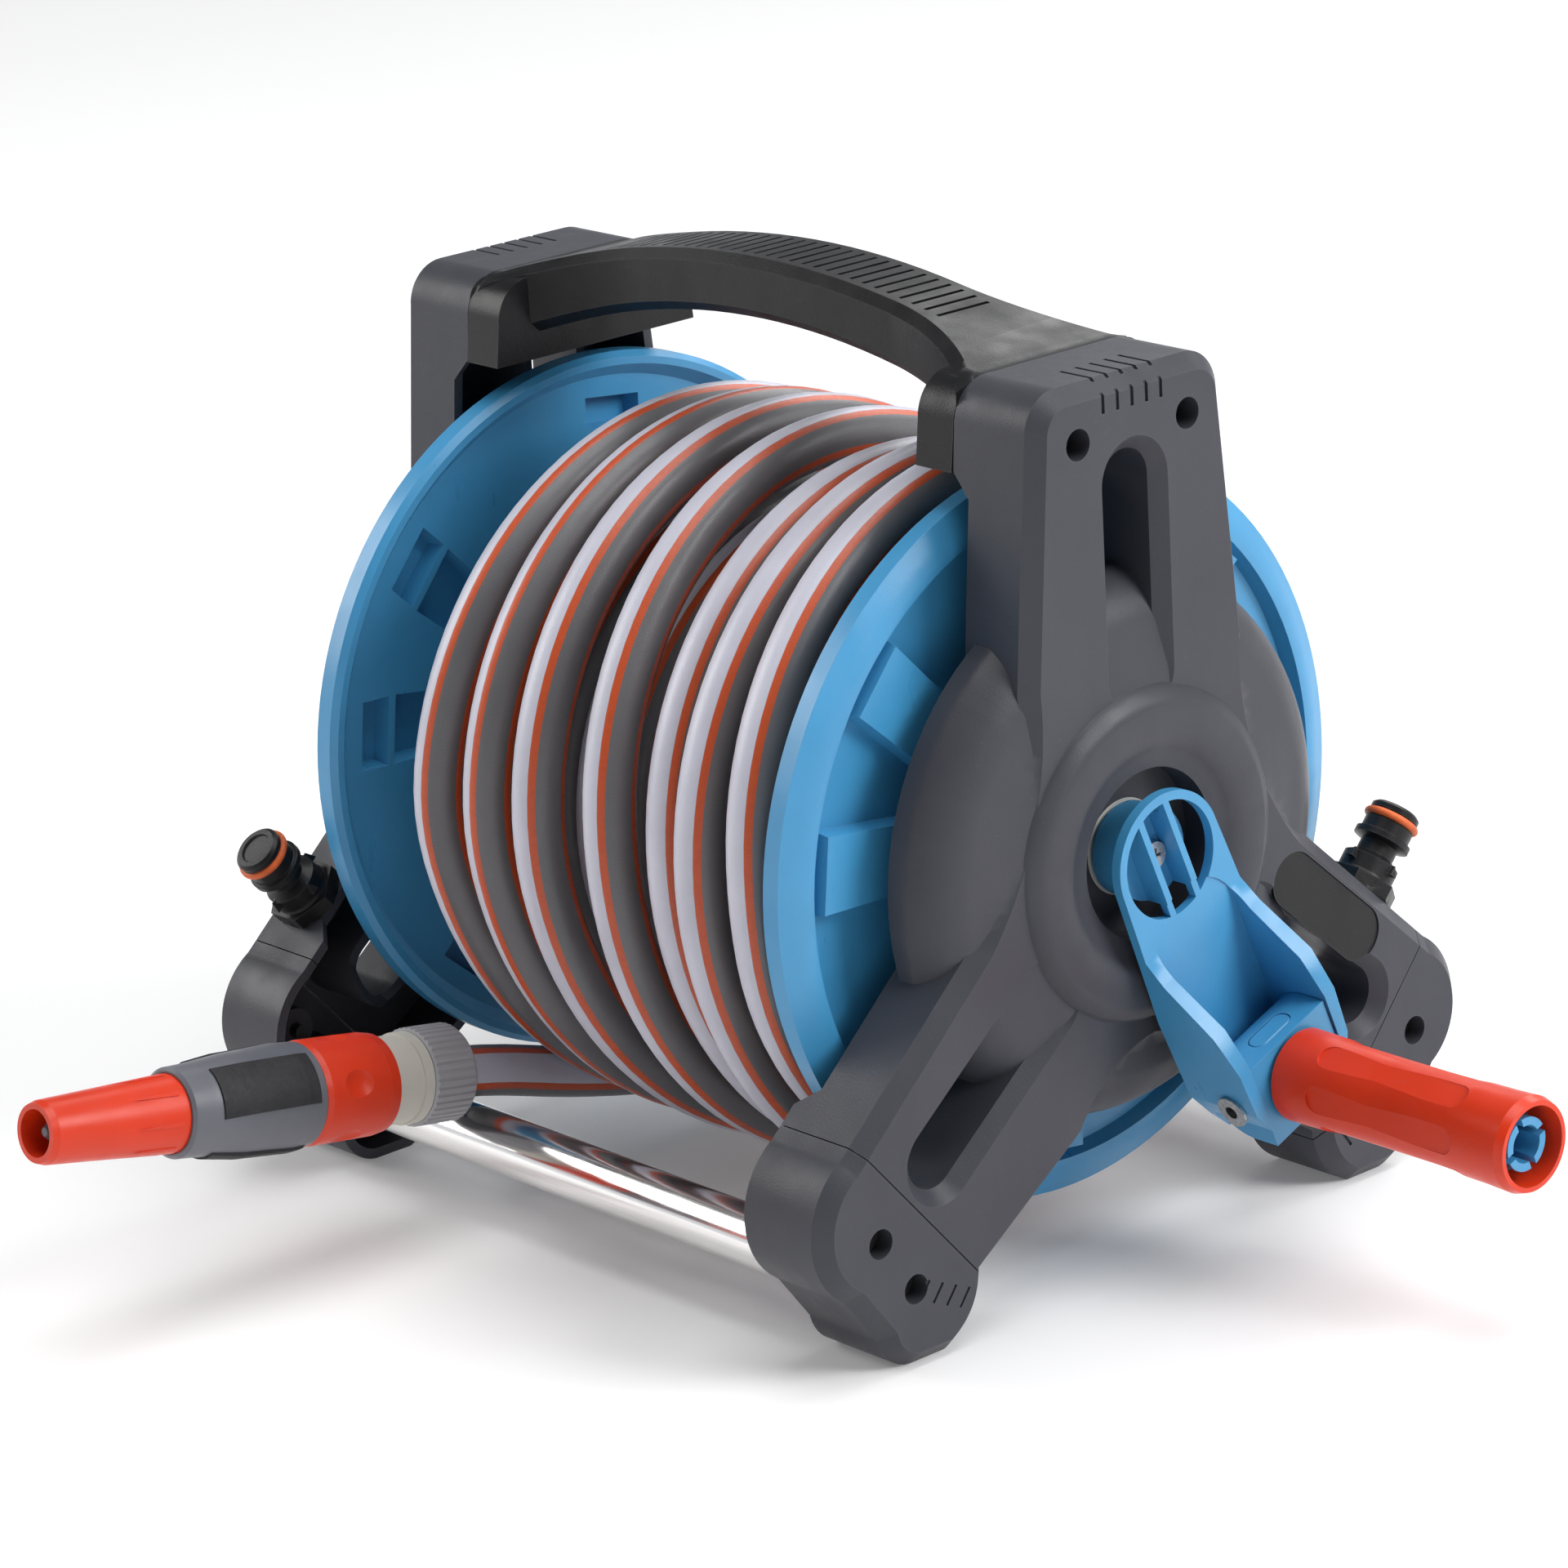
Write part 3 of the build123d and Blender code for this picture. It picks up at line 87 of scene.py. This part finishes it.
# ---------------------------------------------------------------- material helpers
class Shader:
    """A node material with a Principled surface and short calls for what the looks need."""

    def __init__(self, name):
        self.material = bpy.data.materials.new(name)
        self.material.use_nodes = True
        self.tree = self.material.node_tree
        self.surface = self.tree.nodes["Principled BSDF"]

    def node(self, kind, **settings):
        made = self.tree.nodes.new(kind)
        for key, value in settings.items():
            setattr(made, key, value)
        return made

    def link(self, source, target):
        self.tree.links.new(source, target)

    def set(self, **values):
        """Plain values of the surface's sockets, with _ for a space."""
        for key, value in values.items():
            self.surface.inputs[key.replace("_", " ")].default_value = value

    def place(self, stretch=(1, 1, 1)):
        """Object coordinates, stretched."""
        coords = self.node("ShaderNodeTexCoord")
        mapping = self.node("ShaderNodeMapping")
        mapping.inputs["Scale"].default_value = stretch
        self.link(coords.outputs["Object"], mapping.inputs["Vector"])
        return mapping.outputs["Vector"]

    def noise(self, size, detail=3.0, stretch=(1, 1, 1)):
        """Noise whose features are about size metres across."""
        made = self.node("ShaderNodeTexNoise")
        made.inputs["Scale"].default_value = 1.0 / size
        made.inputs["Detail"].default_value = detail
        self.link(self.place(stretch), made.inputs["Vector"])
        return made.outputs["Fac"]

    def ramp(self, value, low, high, to_low=0.0, to_high=1.0):
        """value from low..high, spread over to_low..to_high and held beyond."""
        made = self.node("ShaderNodeMapRange")
        made.inputs["From Min"].default_value = low
        made.inputs["From Max"].default_value = high
        made.inputs["To Min"].default_value = to_low
        made.inputs["To Max"].default_value = to_high
        self.link(value, made.inputs["Value"])
        return made.outputs["Result"]

    def calc(self, operation, a, b):
        made = self.node("ShaderNodeMath", operation=operation)
        for socket, value in zip(made.inputs, (a, b)):
            if isinstance(value, (int, float)):
                socket.default_value = value
            else:
                self.link(value, socket)
        return made.outputs[0]

    def mix(self, factor, a, b):
        """Colour a where factor is 0 and b where it is 1."""
        made = self.node("ShaderNodeMix", data_type="RGBA")
        self.link(factor, made.inputs["Factor"])
        for socket, value in ((made.inputs[6], a), (made.inputs[7], b)):
            if isinstance(value, tuple):
                socket.default_value = (*value, 1)
            else:
                self.link(value, socket)
        return made.outputs[2]

    def bump(self, height, strength, distance, before=None):
        made = self.node("ShaderNodeBump")
        made.inputs["Strength"].default_value = strength
        made.inputs["Distance"].default_value = distance
        self.link(height, made.inputs["Height"])
        if before is not None:
            self.link(before, made.inputs["Normal"])
        return made.outputs["Normal"]

    def edges(self, width):
        """1 along hard edges, 0 on open faces."""
        rounded = self.node("ShaderNodeBevel", samples=4)
        rounded.inputs["Radius"].default_value = width
        facing = self.node("ShaderNodeVectorMath", operation="DOT_PRODUCT")
        self.link(rounded.outputs["Normal"], facing.inputs[0])
        self.link(self.node("ShaderNodeNewGeometry").outputs["Normal"], facing.inputs[1])
        return self.ramp(facing.outputs["Value"], 0.99, 0.9)

    def colour(self, socket):
        self.link(socket, self.surface.inputs["Base Color"])

    def roughness(self, socket):
        self.link(socket, self.surface.inputs["Roughness"])

    def normal(self, socket):
        self.link(socket, self.surface.inputs["Normal"])


def tint(colour, factor):
    return tuple(min(1.0, part * factor) for part in colour)


def plastic(name, colour, rough, grain=0.0006, depth=0.35, shine=0.5, coat=0.0):
    """Moulded plastic: fine eroded grain, faint flow clouds, small scuffs, and hard edges paled partly as rubbed
    wear and partly as a painted highlight.
    """
    look = Shader(name)
    clouds = look.noise(0.05, 4)
    smears = look.noise(0.012, 5, (1, 1, 0.35))
    scuffs = look.noise(0.0035, 6, (0.3, 1, 2.5))
    grain_height = look.noise(grain, 2)
    base = look.mix(look.ramp(clouds, 0.35, 0.68), tint(colour, 0.93), tint(colour, 1.07))
    # Hard edges are paled: partly rubbed wear, partly a painted highlight where light catches the edges.
    rubbed_and_edge_highlight = look.calc("MULTIPLY", look.edges(0.0008), look.ramp(smears, 0.4, 0.62, 0.1, 0.55))
    scuffs_rubbing_and_edge_highlight = look.calc("MAXIMUM", look.ramp(scuffs, 0.66, 0.76, 0.0, 0.22), rubbed_and_edge_highlight)
    pale = tuple(part * 0.85 + 0.05 for part in colour)
    look.colour(look.mix(scuffs_rubbing_and_edge_highlight, base, pale))
    worn = look.ramp(smears, 0.3, 0.7, rough - 0.07, rough + 0.08)
    look.roughness(look.calc("ADD", worn, look.calc("MULTIPLY", scuffs_rubbing_and_edge_highlight, 0.15)))
    fine = look.bump(grain_height, depth, 0.00012)
    look.normal(look.bump(smears, 0.06, 0.0004, fine))
    look.set(Specular_IOR_Level=shine, Coat_Weight=coat, Coat_Roughness=0.25)
    return look.material


def rubber(name, colour, rough):
    """Soft matt rubber with a little dust."""
    look = Shader(name)
    patches = look.noise(0.008, 4)
    dust = look.noise(0.0015, 5)
    look.colour(look.mix(look.ramp(patches, 0.35, 0.7), tint(colour, 0.85), tint(colour, 1.25)))
    look.roughness(look.ramp(dust, 0.3, 0.7, rough - 0.08, rough + 0.1))
    look.normal(look.bump(look.noise(0.0004, 2), 0.4, 0.0001))
    look.set(Specular_IOR_Level=0.35)
    return look.material


def polished_tube(name):
    """Drawn stainless tube: bright, with fine lines along it and faint finger marks."""
    look = Shader(name)
    lines = look.noise(0.0004, 3, (0.01, 1, 1))
    marks = look.noise(0.02, 5)
    look.colour(look.mix(look.ramp(lines, 0.3, 0.7), (0.76, 0.75, 0.74), (0.88, 0.87, 0.86)))
    rough = look.ramp(marks, 0.35, 0.7, 0.09, 0.2)
    look.roughness(look.calc("ADD", rough, look.ramp(lines, 0.4, 0.6, 0.0, 0.05)))
    look.normal(look.bump(lines, 0.12, 0.00005))
    look.set(Metallic=1.0)
    return look.material


def zinc(name):
    """Zinc plate with a fine spangle."""
    look = Shader(name)
    spangle = look.noise(0.0012, 4)
    look.colour(look.mix(look.ramp(spangle, 0.35, 0.7), (0.42, 0.42, 0.43), (0.62, 0.61, 0.58)))
    look.roughness(look.ramp(look.noise(0.0006, 3), 0.3, 0.7, 0.25, 0.45))
    look.normal(look.bump(spangle, 0.2, 0.0001))
    look.set(Metallic=1.0)
    return look.material


# ---------------------------------------------------------------- hose
HOSE_D = 0.017
RING = 28                     # corners round the hose
# Bands round the hose, in degrees from the side that faces away from the drum, towards +X.
PALE_BAND = (-62, 8)
ORANGE_BANDS = ((8, 26), (90, 109), (-80, -62))
HOSE_PALE = (0.52, 0.52, 0.60)
HOSE_ORANGE = (0.50, 0.072, 0.017)
HOSE_GREY = (0.115, 0.115, 0.122)
BAND_EDGE = 0.0022            # half the blur of a band's edge, as a part of a turn
THREADS_ROUND = 46.0          # threads of the woven core round the hose
THREADS_PER_M = 900.0         # and along it


def hose_material():
    """Glossy grey hose with a woven core showing through, a pale band and orange stripes."""
    look = Shader("hose_striped")
    uv = look.node("ShaderNodeUVMap", uv_map="hose")
    parts = look.node("ShaderNodeSeparateXYZ")
    look.link(uv.outputs["UV"], parts.inputs["Vector"])
    around, along = parts.outputs["X"], parts.outputs["Y"]

    def band(limits):
        low, high = (limit / 360 for limit in limits)
        middle, half = (low + high) / 2, (high - low) / 2
        offset = look.calc("WRAP", look.calc("SUBTRACT", around, middle + 0.5), 1.0)
        offset.node.inputs[2].default_value = 0.0
        away = look.calc("ABSOLUTE", look.calc("SUBTRACT", offset, 0.5), 0.0)
        return look.ramp(away, half - BAND_EDGE, half + BAND_EDGE, 1.0, 0.0)

    weave = look.node("ShaderNodeTexBrick", offset=0.5)
    weave_place = look.node("ShaderNodeCombineXYZ")
    look.link(look.calc("MULTIPLY", around, THREADS_ROUND), weave_place.inputs["X"])
    look.link(look.calc("MULTIPLY", along, THREADS_PER_M), weave_place.inputs["Y"])
    look.link(weave_place.outputs["Vector"], weave.inputs["Vector"])
    for socket in ("Scale", "Brick Width", "Row Height"):
        weave.inputs[socket].default_value = 1.0
    weave.inputs["Mortar Size"].default_value = 0.12
    weave.inputs["Mortar Smooth"].default_value = 0.9
    threads = weave.outputs["Fac"]
    grime = look.noise(0.03, 5)
    flecks = look.noise(0.0016, 5)

    grey = look.mix(look.calc("MULTIPLY", threads, 0.35), HOSE_GREY, tint(HOSE_GREY, 0.72))
    grey = look.mix(look.ramp(grime, 0.4, 0.7, 0.0, 0.5), grey, tint(HOSE_GREY, 1.28))
    pale = look.mix(look.ramp(grime, 0.35, 0.75), HOSE_PALE, tint(HOSE_PALE, 0.88))
    bright = look.mix(look.ramp(flecks, 0.45, 0.75, 0.0, 0.5), HOSE_ORANGE, tint(HOSE_ORANGE, 0.78))
    colour = look.mix(band(PALE_BAND), grey, pale)
    for limits in ORANGE_BANDS:
        colour = look.mix(band(limits), colour, bright)
    look.colour(colour)
    look.roughness(look.ramp(flecks, 0.3, 0.75, 0.30, 0.44))
    fine = look.bump(threads, 0.22, 0.00018)
    look.normal(look.bump(look.noise(0.006, 3), 0.1, 0.0006, fine))
    look.set(Specular_IOR_Level=0.45, Coat_Weight=0.12, Coat_Roughness=0.3)
    return look.material


def route_curve(name, points):
    """A smooth NURBS line with these points as its control points."""
    data = bpy.data.curves.new(name, "CURVE")
    data.dimensions = "3D"
    spline = data.splines.new("NURBS")
    spline.points.add(len(points) - 1)
    for point, co in zip(spline.points, points):
        point.co = (*co, 1)
    spline.order_u = 3
    spline.use_endpoint_u = True
    spline.resolution_u = 4
    return data


def read_route(data):
    """The points of a route's smooth line, in order."""
    line = bpy.data.objects.new("line", data)
    bpy.context.scene.collection.objects.link(line)
    bpy.context.view_layer.update()
    mesh = bpy.data.meshes.new_from_object(line.evaluated_get(bpy.context.evaluated_depsgraph_get()))
    found = np.array([vertex.co for vertex in mesh.vertices], float)
    bpy.data.meshes.remove(mesh)
    bpy.data.objects.remove(line)
    return found


def hose_tube(name, line, outward, twist):
    """A hose along a line. outward(points) gives the side that the bands are counted from,
    and twist gives how far they are turned at each point, in degrees."""
    tangent = np.gradient(line, axis=0)
    tangent /= np.linalg.norm(tangent, axis=1)[:, None]
    normal = outward(line)
    normal = normal - (normal * tangent).sum(1)[:, None] * tangent
    normal /= np.linalg.norm(normal, axis=1)[:, None]
    side = np.cross(tangent, normal)
    angle = np.radians(twist)[:, None] + np.linspace(0, 2 * pi, RING, endpoint=False)[None, :]
    spoke = np.cos(angle)[..., None] * normal[:, None] + np.sin(angle)[..., None] * side[:, None]
    rings = line[:, None] + spoke * HOSE_D / 2
    count = len(line)
    corners = rings.reshape(-1, 3)
    i, j = np.meshgrid(np.arange(count - 1), np.arange(RING), indexing="ij")
    k = (j + 1) % RING
    quads = np.stack([i * RING + j, i * RING + k, (i + 1) * RING + k, (i + 1) * RING + j], -1)
    faces = quads.reshape(-1, 4).tolist()
    faces.append(list(range(RING))[::-1])
    faces.append([(count - 1) * RING + n for n in range(RING)])
    mesh = bpy.data.meshes.new(name)
    mesh.from_pydata(corners.tolist(), [], faces)
    run = np.concatenate([[0], np.cumsum(np.linalg.norm(np.diff(line, axis=0), axis=1))])
    u = np.stack([j, j + 1, j + 1, j], -1) / RING
    v = np.stack([run[i], run[i], run[i + 1], run[i + 1]], -1)
    coords = np.zeros((len(mesh.loops), 2))
    coords[: u.size, 0] = u.reshape(-1)
    coords[: v.size, 1] = v.reshape(-1)
    layer = mesh.uv_layers.new(name="hose")
    layer.data.foreach_set("uv", coords.reshape(-1))
    mesh.polygons.foreach_set("use_smooth", [True] * len(mesh.polygons))
    mesh.update()
    piece = bpy.data.objects.new(name, mesh)
    bpy.context.scene.collection.objects.link(piece)
    return piece


# The wound hose: two even inner layers and a loose outer one, from the tail to the free end.
# Radii and places along the drum are in millimetres, of the middle of the hose.
TURN_POINTS = 24
START_TURN = 0.25             # the hose leaves its tail at the top of the drum
FIRST_R = 67.0
FIRST_X = (80.0, -72.0)
FIRST_TURNS = 8.75
SECOND_R = 89.0
SECOND_X = (-72.0, 92.0)
SECOND_TURNS = 9.5
CLIMB = (-0.3, 0.35)          # the hose climbs from one layer to the next over these turns
HOLD = 0.2                    # and runs along the flange for this part of a turn
OUTER_R = 112.6
OUTER_SAG = 3.0               # the loose layer hangs this much lower
# Where each outer turn crosses the front of the drum, from the crank's end to the far end, and
# last where the free end leaves; how much of the way to the next crossing is gone at the back;
# and how far each stands out from the outer layer's radius.
OUTER_FRONTS = (95.0, 70.5, 52.0, 28.5, -7.0, -33.0, -60.0, -54.0)
OUTER_SHARE = (0.6, 0.5, 0.5, 0.5, 0.35, 0.1, 1.0)
OUTER_LIFT = (0.0, 0.5, -4.5, 0.5, 0.8, 0.0, -1.0, 0.0)
OUTER_TWIST = (19.0, 23.0, 25.0, 13.0, 18.0, -6.0, -3.0)
LEAN_RUN = 0.3                # the turns lean over this part of a turn on each side of the front
LEAD_TWIST = 137.0            # the free end shows its pale band to the side
TWIST_RUN = 0.55              # turns over which the hose twists to that
BEFORE_BOTTOM = 0.0406        # the last turn stops this part of a turn before the bottom
OUTER_END = len(OUTER_SHARE) - 1 + 0.75 - BEFORE_BOTTOM


def ease(t):
    """From 0 to 1 with soft ends."""
    t = min(1.0, max(0.0, t))
    return t * t * (3 - 2 * t)


def drum_point(turn, radius, x, sag=0.0):
    """turn counts whole turns from the front of the drum, upwards first."""
    angle = 2 * pi * turn
    rim = radius / cos(pi / TURN_POINTS)
    return hub_point(x, -rim * cos(angle), rim * sin(angle) - sag)


def inner_point(turn):
    """The two even layers; gone counts turns from the end of the first one."""
    gone = turn - START_TURN - FIRST_TURNS
    if gone < 0:
        x = FIRST_X[1] + (FIRST_X[1] - FIRST_X[0]) * gone / FIRST_TURNS
    else:
        part = max(0.0, gone - HOLD) / (SECOND_TURNS - HOLD)
        x = SECOND_X[0] + (SECOND_X[1] - SECOND_X[0]) * part
    climb = ease((gone - CLIMB[0]) / (CLIMB[1] - CLIMB[0]))
    return drum_point(turn, FIRST_R + (SECOND_R - FIRST_R) * climb, x)


def lean(part, share):
    """How much of the way to the next crossing is gone: it moves at the front and rests behind."""
    if part < 0.5:
        return share * sin(min(1.0, part / LEAN_RUN) * pi / 2)
    return 1 - (1 - share) * sin(min(1.0, (1 - part) / LEAN_RUN) * pi / 2)


def outer_point(turn, start):
    """The loose outer layer: turn 0 is its first crossing of the front, start is below 0."""
    sag = OUTER_SAG * ease(turn)
    if turn < 0:
        gone = ease((turn - start) / -start)
        x = SECOND_X[1] + (OUTER_FRONTS[0] - SECOND_X[1]) * gone
        return drum_point(turn, SECOND_R + (OUTER_R - SECOND_R) * gone, x, sag)
    k = min(int(turn), len(OUTER_FRONTS) - 2)
    part = turn - k
    x = OUTER_FRONTS[k] + (OUTER_FRONTS[k + 1] - OUTER_FRONTS[k]) * lean(part, OUTER_SHARE[k])
    lift = OUTER_LIFT[k] + (OUTER_LIFT[k + 1] - OUTER_LIFT[k]) * ease((part - 0.5) / 0.4)
    return drum_point(turn, OUTER_R + lift, x, sag)


def coil_points():
    steps = round((FIRST_TURNS + SECOND_TURNS) * TURN_POINTS)
    points = [inner_point(START_TURN + step / TURN_POINTS) for step in range(steps)]
    start = (START_TURN + FIRST_TURNS + SECOND_TURNS) % 1.0 - 1.0
    steps = round((OUTER_END - start) * TURN_POINTS)
    for step in range(steps + 1):
        points.append(outer_point(start + (OUTER_END - start) * step / steps, start))
    return points


def from_axis(line):
    """Straight away from the drum axis, at each point."""
    away = line - np.array(HUB)
    away[:, 0] = 0
    return away


def turn_count(line):
    """How many turns round the drum the hose has made at each point of its line."""
    around = line - np.array(HUB)
    angle = np.unwrap(np.arctan2(around[:, 2], -around[:, 1]))
    return (angle - angle[0]) / (2 * pi)


def make_coil(look):
    line = read_route(route_curve("coil_route", coil_points()))
    turns = turn_count(line)
    back = turns[-1] - turns                      # turns before the free end
    twist = 10 * np.sin(turns * 2.3)              # the inner layers' bands wander a little
    outer = OUTER_END - back
    own = np.interp(outer, range(len(OUTER_TWIST)), OUTER_TWIST)
    share = np.clip(outer + 1, 0, 1)
    twist = twist * (1 - share) + own * share
    last = np.clip(1 - back / TWIST_RUN, 0, 1)
    twist = twist + (LEAD_TWIST - twist) * last * last * (3 - 2 * last)
    coil = hose_tube("hose_wound", line, from_axis, twist)
    coil.data.materials.append(look)
    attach(coil, "drum")
    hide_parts("hose_coil")


LEAD_ROUTE = (                # the free end, from the coil to the hose nut, in metres from the drum
    (-0.054, 0.030, -0.1136),
    (-0.054, -0.022, -0.1142),
    (-0.054, -0.066, -0.1038),
    (-0.054, -0.1111, -0.08866),
    (-0.054, -0.1373, -0.08427),
)


def make_lead(look):
    points = [HUB + Vector(point) for point in LEAD_ROUTE]
    line = read_route(route_curve("lead_route", points))

    def downwards(at):
        return np.tile(np.array([0.0, 0.0, -1.0]), (len(at), 1))

    lead = hose_tube("hose_free_end", line, downwards, np.full(len(line), LEAD_TWIST))
    lead.data.materials.append(look)
    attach(lead, "frame")
    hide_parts("hose_lead")


hose_look = hose_material()
make_coil(hose_look)
make_lead(hose_look)


# ---------------------------------------------------------------- finishes of the CAD nodes
LOOKS = {
    "frame_plastic": plastic("frame_anthracite", (0.047, 0.048, 0.058), 0.42, depth=0.5, shine=0.3),
    "black_plastic": plastic("handle_black", (0.0065, 0.0065, 0.0075), 0.37, depth=0.5, shine=0.28),
    "blue_plastic": plastic("drum_blue", (0.048, 0.265, 0.50), 0.34, depth=0.25, coat=0.08),
    "orange_plastic": plastic("signal_orange", (0.62, 0.033, 0.005), 0.36, depth=0.3, shine=0.38),
    "bearing_plastic": plastic("bearing_white", (0.55, 0.55, 0.52), 0.4, depth=0.15),
    "nozzle_plastic": plastic("nozzle_grey", (0.115, 0.118, 0.138), 0.4, depth=0.35),
    "white_plastic": plastic("connector_white", (0.56, 0.54, 0.48), 0.36, depth=0.2),
    "soft_black": rubber("soft_grip_black", (0.018, 0.018, 0.02), 0.62),
    "seal_rubber": rubber("seal_orange", (0.62, 0.12, 0.03), 0.45),
    "steel_tube": polished_tube("stainless_tube"),
    "screw_steel": zinc("zinc_screw"),
}
# The foot and handle screws are made near black as painted shade, so that their screw holes read dark.
HOLE_SHADE_SCREWS = plastic("screw_painted_hole_shade", (0.012, 0.012, 0.013), 0.4, depth=0.2, shine=0.7)
GREY_NUT = plastic("nut_light_grey", (0.33, 0.33, 0.345), 0.4, depth=0.3)
OWN_LOOKS = {"foot_screws": HOLE_SHADE_SCREWS, "handle_screws": HOLE_SHADE_SCREWS, "hose_nut": GREY_NUT}

# Edge rounds in metres, by slot. What is turned, small or hidden keeps its edges.
ROUNDS = {"frame_plastic": 0.0006, "black_plastic": 0.0005, "blue_plastic": 0.0004}
HARD_EDGE = 38                # degrees: sharper edges are rounded
SAME_POINT = 0.00001          # metres


def soften(node, width):
    """Small round on the hard edges of a moulded piece."""
    weld = node.modifiers.new("weld", "WELD")
    weld.merge_threshold = SAME_POINT
    bevel = node.modifiers.new("edge", "BEVEL")
    bevel.width = width
    bevel.segments = 2
    bevel.limit_method = "ANGLE"
    bevel.angle_limit = radians(HARD_EDGE)
    bevel.use_clamp_overlap = True
    even = node.modifiers.new("even", "WEIGHTED_NORMAL")
    even.weight = 70


def dress_nodes():
    for part in frame["record"]["subparts"]:
        slot = part["material_slot"]
        node = NODES[part["node"]]
        look = OWN_LOOKS.get(part["node"], LOOKS.get(slot))
        if look:
            for place in node.material_slots:
                place.link = "OBJECT"
                place.material = look
        if slot in ROUNDS:
            soften(node, ROUNDS[slot])


dress_nodes()


# ---------------------------------------------------------------- stage
FLOOR_HALF = 12.0
FLOOR_GLOW = ((0.9, 0.12), (4.5, 0.8))      # metres from the middle, strength: pale to the horizon
SKY_FADE = ((0.1, 0.85), (0.24, 0.16))      # height of the view line, strength: dim above
AIM = (0, 0, 0.15)
LIGHTS = (                    # name, place, aim, size in metres, watts, colour
    ("left", (-1.9, -1.1, 1.1), AIM, (1.1, 1.3), 27, (1, 0.99, 0.97)),
    ("right", (1.9, 0.9, 1.6), AIM, (1.2, 1.2), 54, (1, 1, 1)),
    ("back", (-0.6, 1.8, 1.5), AIM, (1.6, 0.8), 18, (1, 1, 1)),
    ("top", (0.2, 0.1, 2.2), (0, 0, 0.1), (1.5, 1.5), 30, (1, 1, 1)),
)


def area_light(name, place, aim, size, power, colour):
    data = bpy.data.lights.new(name, "AREA")
    data.shape = "RECTANGLE"
    data.size, data.size_y = size
    data.energy = power
    data.color = colour
    light = bpy.data.objects.new(name, data)
    bpy.context.scene.collection.objects.link(light)
    light.location = place
    light.rotation_euler = (Vector(aim) - Vector(place)).to_track_quat("-Z", "Y").to_euler()


def make_floor():
    look = Shader("pale_floor")
    look.colour(look.mix(look.noise(0.4, 3), (0.80, 0.80, 0.80), (0.83, 0.83, 0.83)))
    look.set(Roughness=0.6, Emission_Color=(1, 1, 1, 1))
    reach = look.node("ShaderNodeVectorMath", operation="LENGTH")
    look.link(look.place(), reach.inputs[0])
    (near, dim), (far, bright) = FLOOR_GLOW
    glow = look.ramp(reach.outputs["Value"], near, far, dim, bright)
    look.link(glow, look.surface.inputs["Emission Strength"])
    corners = [(x * FLOOR_HALF, y * FLOOR_HALF, 0) for x, y in ((-1, -1), (1, -1), (1, 1), (-1, 1))]
    mesh = bpy.data.meshes.new("floor")
    mesh.from_pydata(corners, [], [(0, 1, 2, 3)])
    mesh.materials.append(look.material)
    floor = bpy.data.objects.new("floor", mesh)
    bpy.context.scene.collection.objects.link(floor)


def make_sky():
    world = bpy.data.worlds.new("studio")
    world.use_nodes = True
    tree = world.node_tree
    sky = tree.nodes["Background"]
    sky.inputs["Color"].default_value = (0.93, 0.95, 1.0, 1)
    coords = tree.nodes.new("ShaderNodeTexCoord")
    height = tree.nodes.new("ShaderNodeSeparateXYZ")
    fade = tree.nodes.new("ShaderNodeMapRange")
    (low, pale), (high, dim) = SKY_FADE
    for socket, value in zip(("From Min", "From Max", "To Min", "To Max"), (low, high, pale, dim)):
        fade.inputs[socket].default_value = value
    tree.links.new(coords.outputs["Generated"], height.inputs[0])
    tree.links.new(height.outputs["Z"], fade.inputs["Value"])
    tree.links.new(fade.outputs["Result"], sky.inputs["Strength"])
    bpy.context.scene.world = world


make_floor()
make_sky()
for settings in LIGHTS:
    area_light(*settings)
bpy.context.scene.view_settings.view_transform = "Standard"
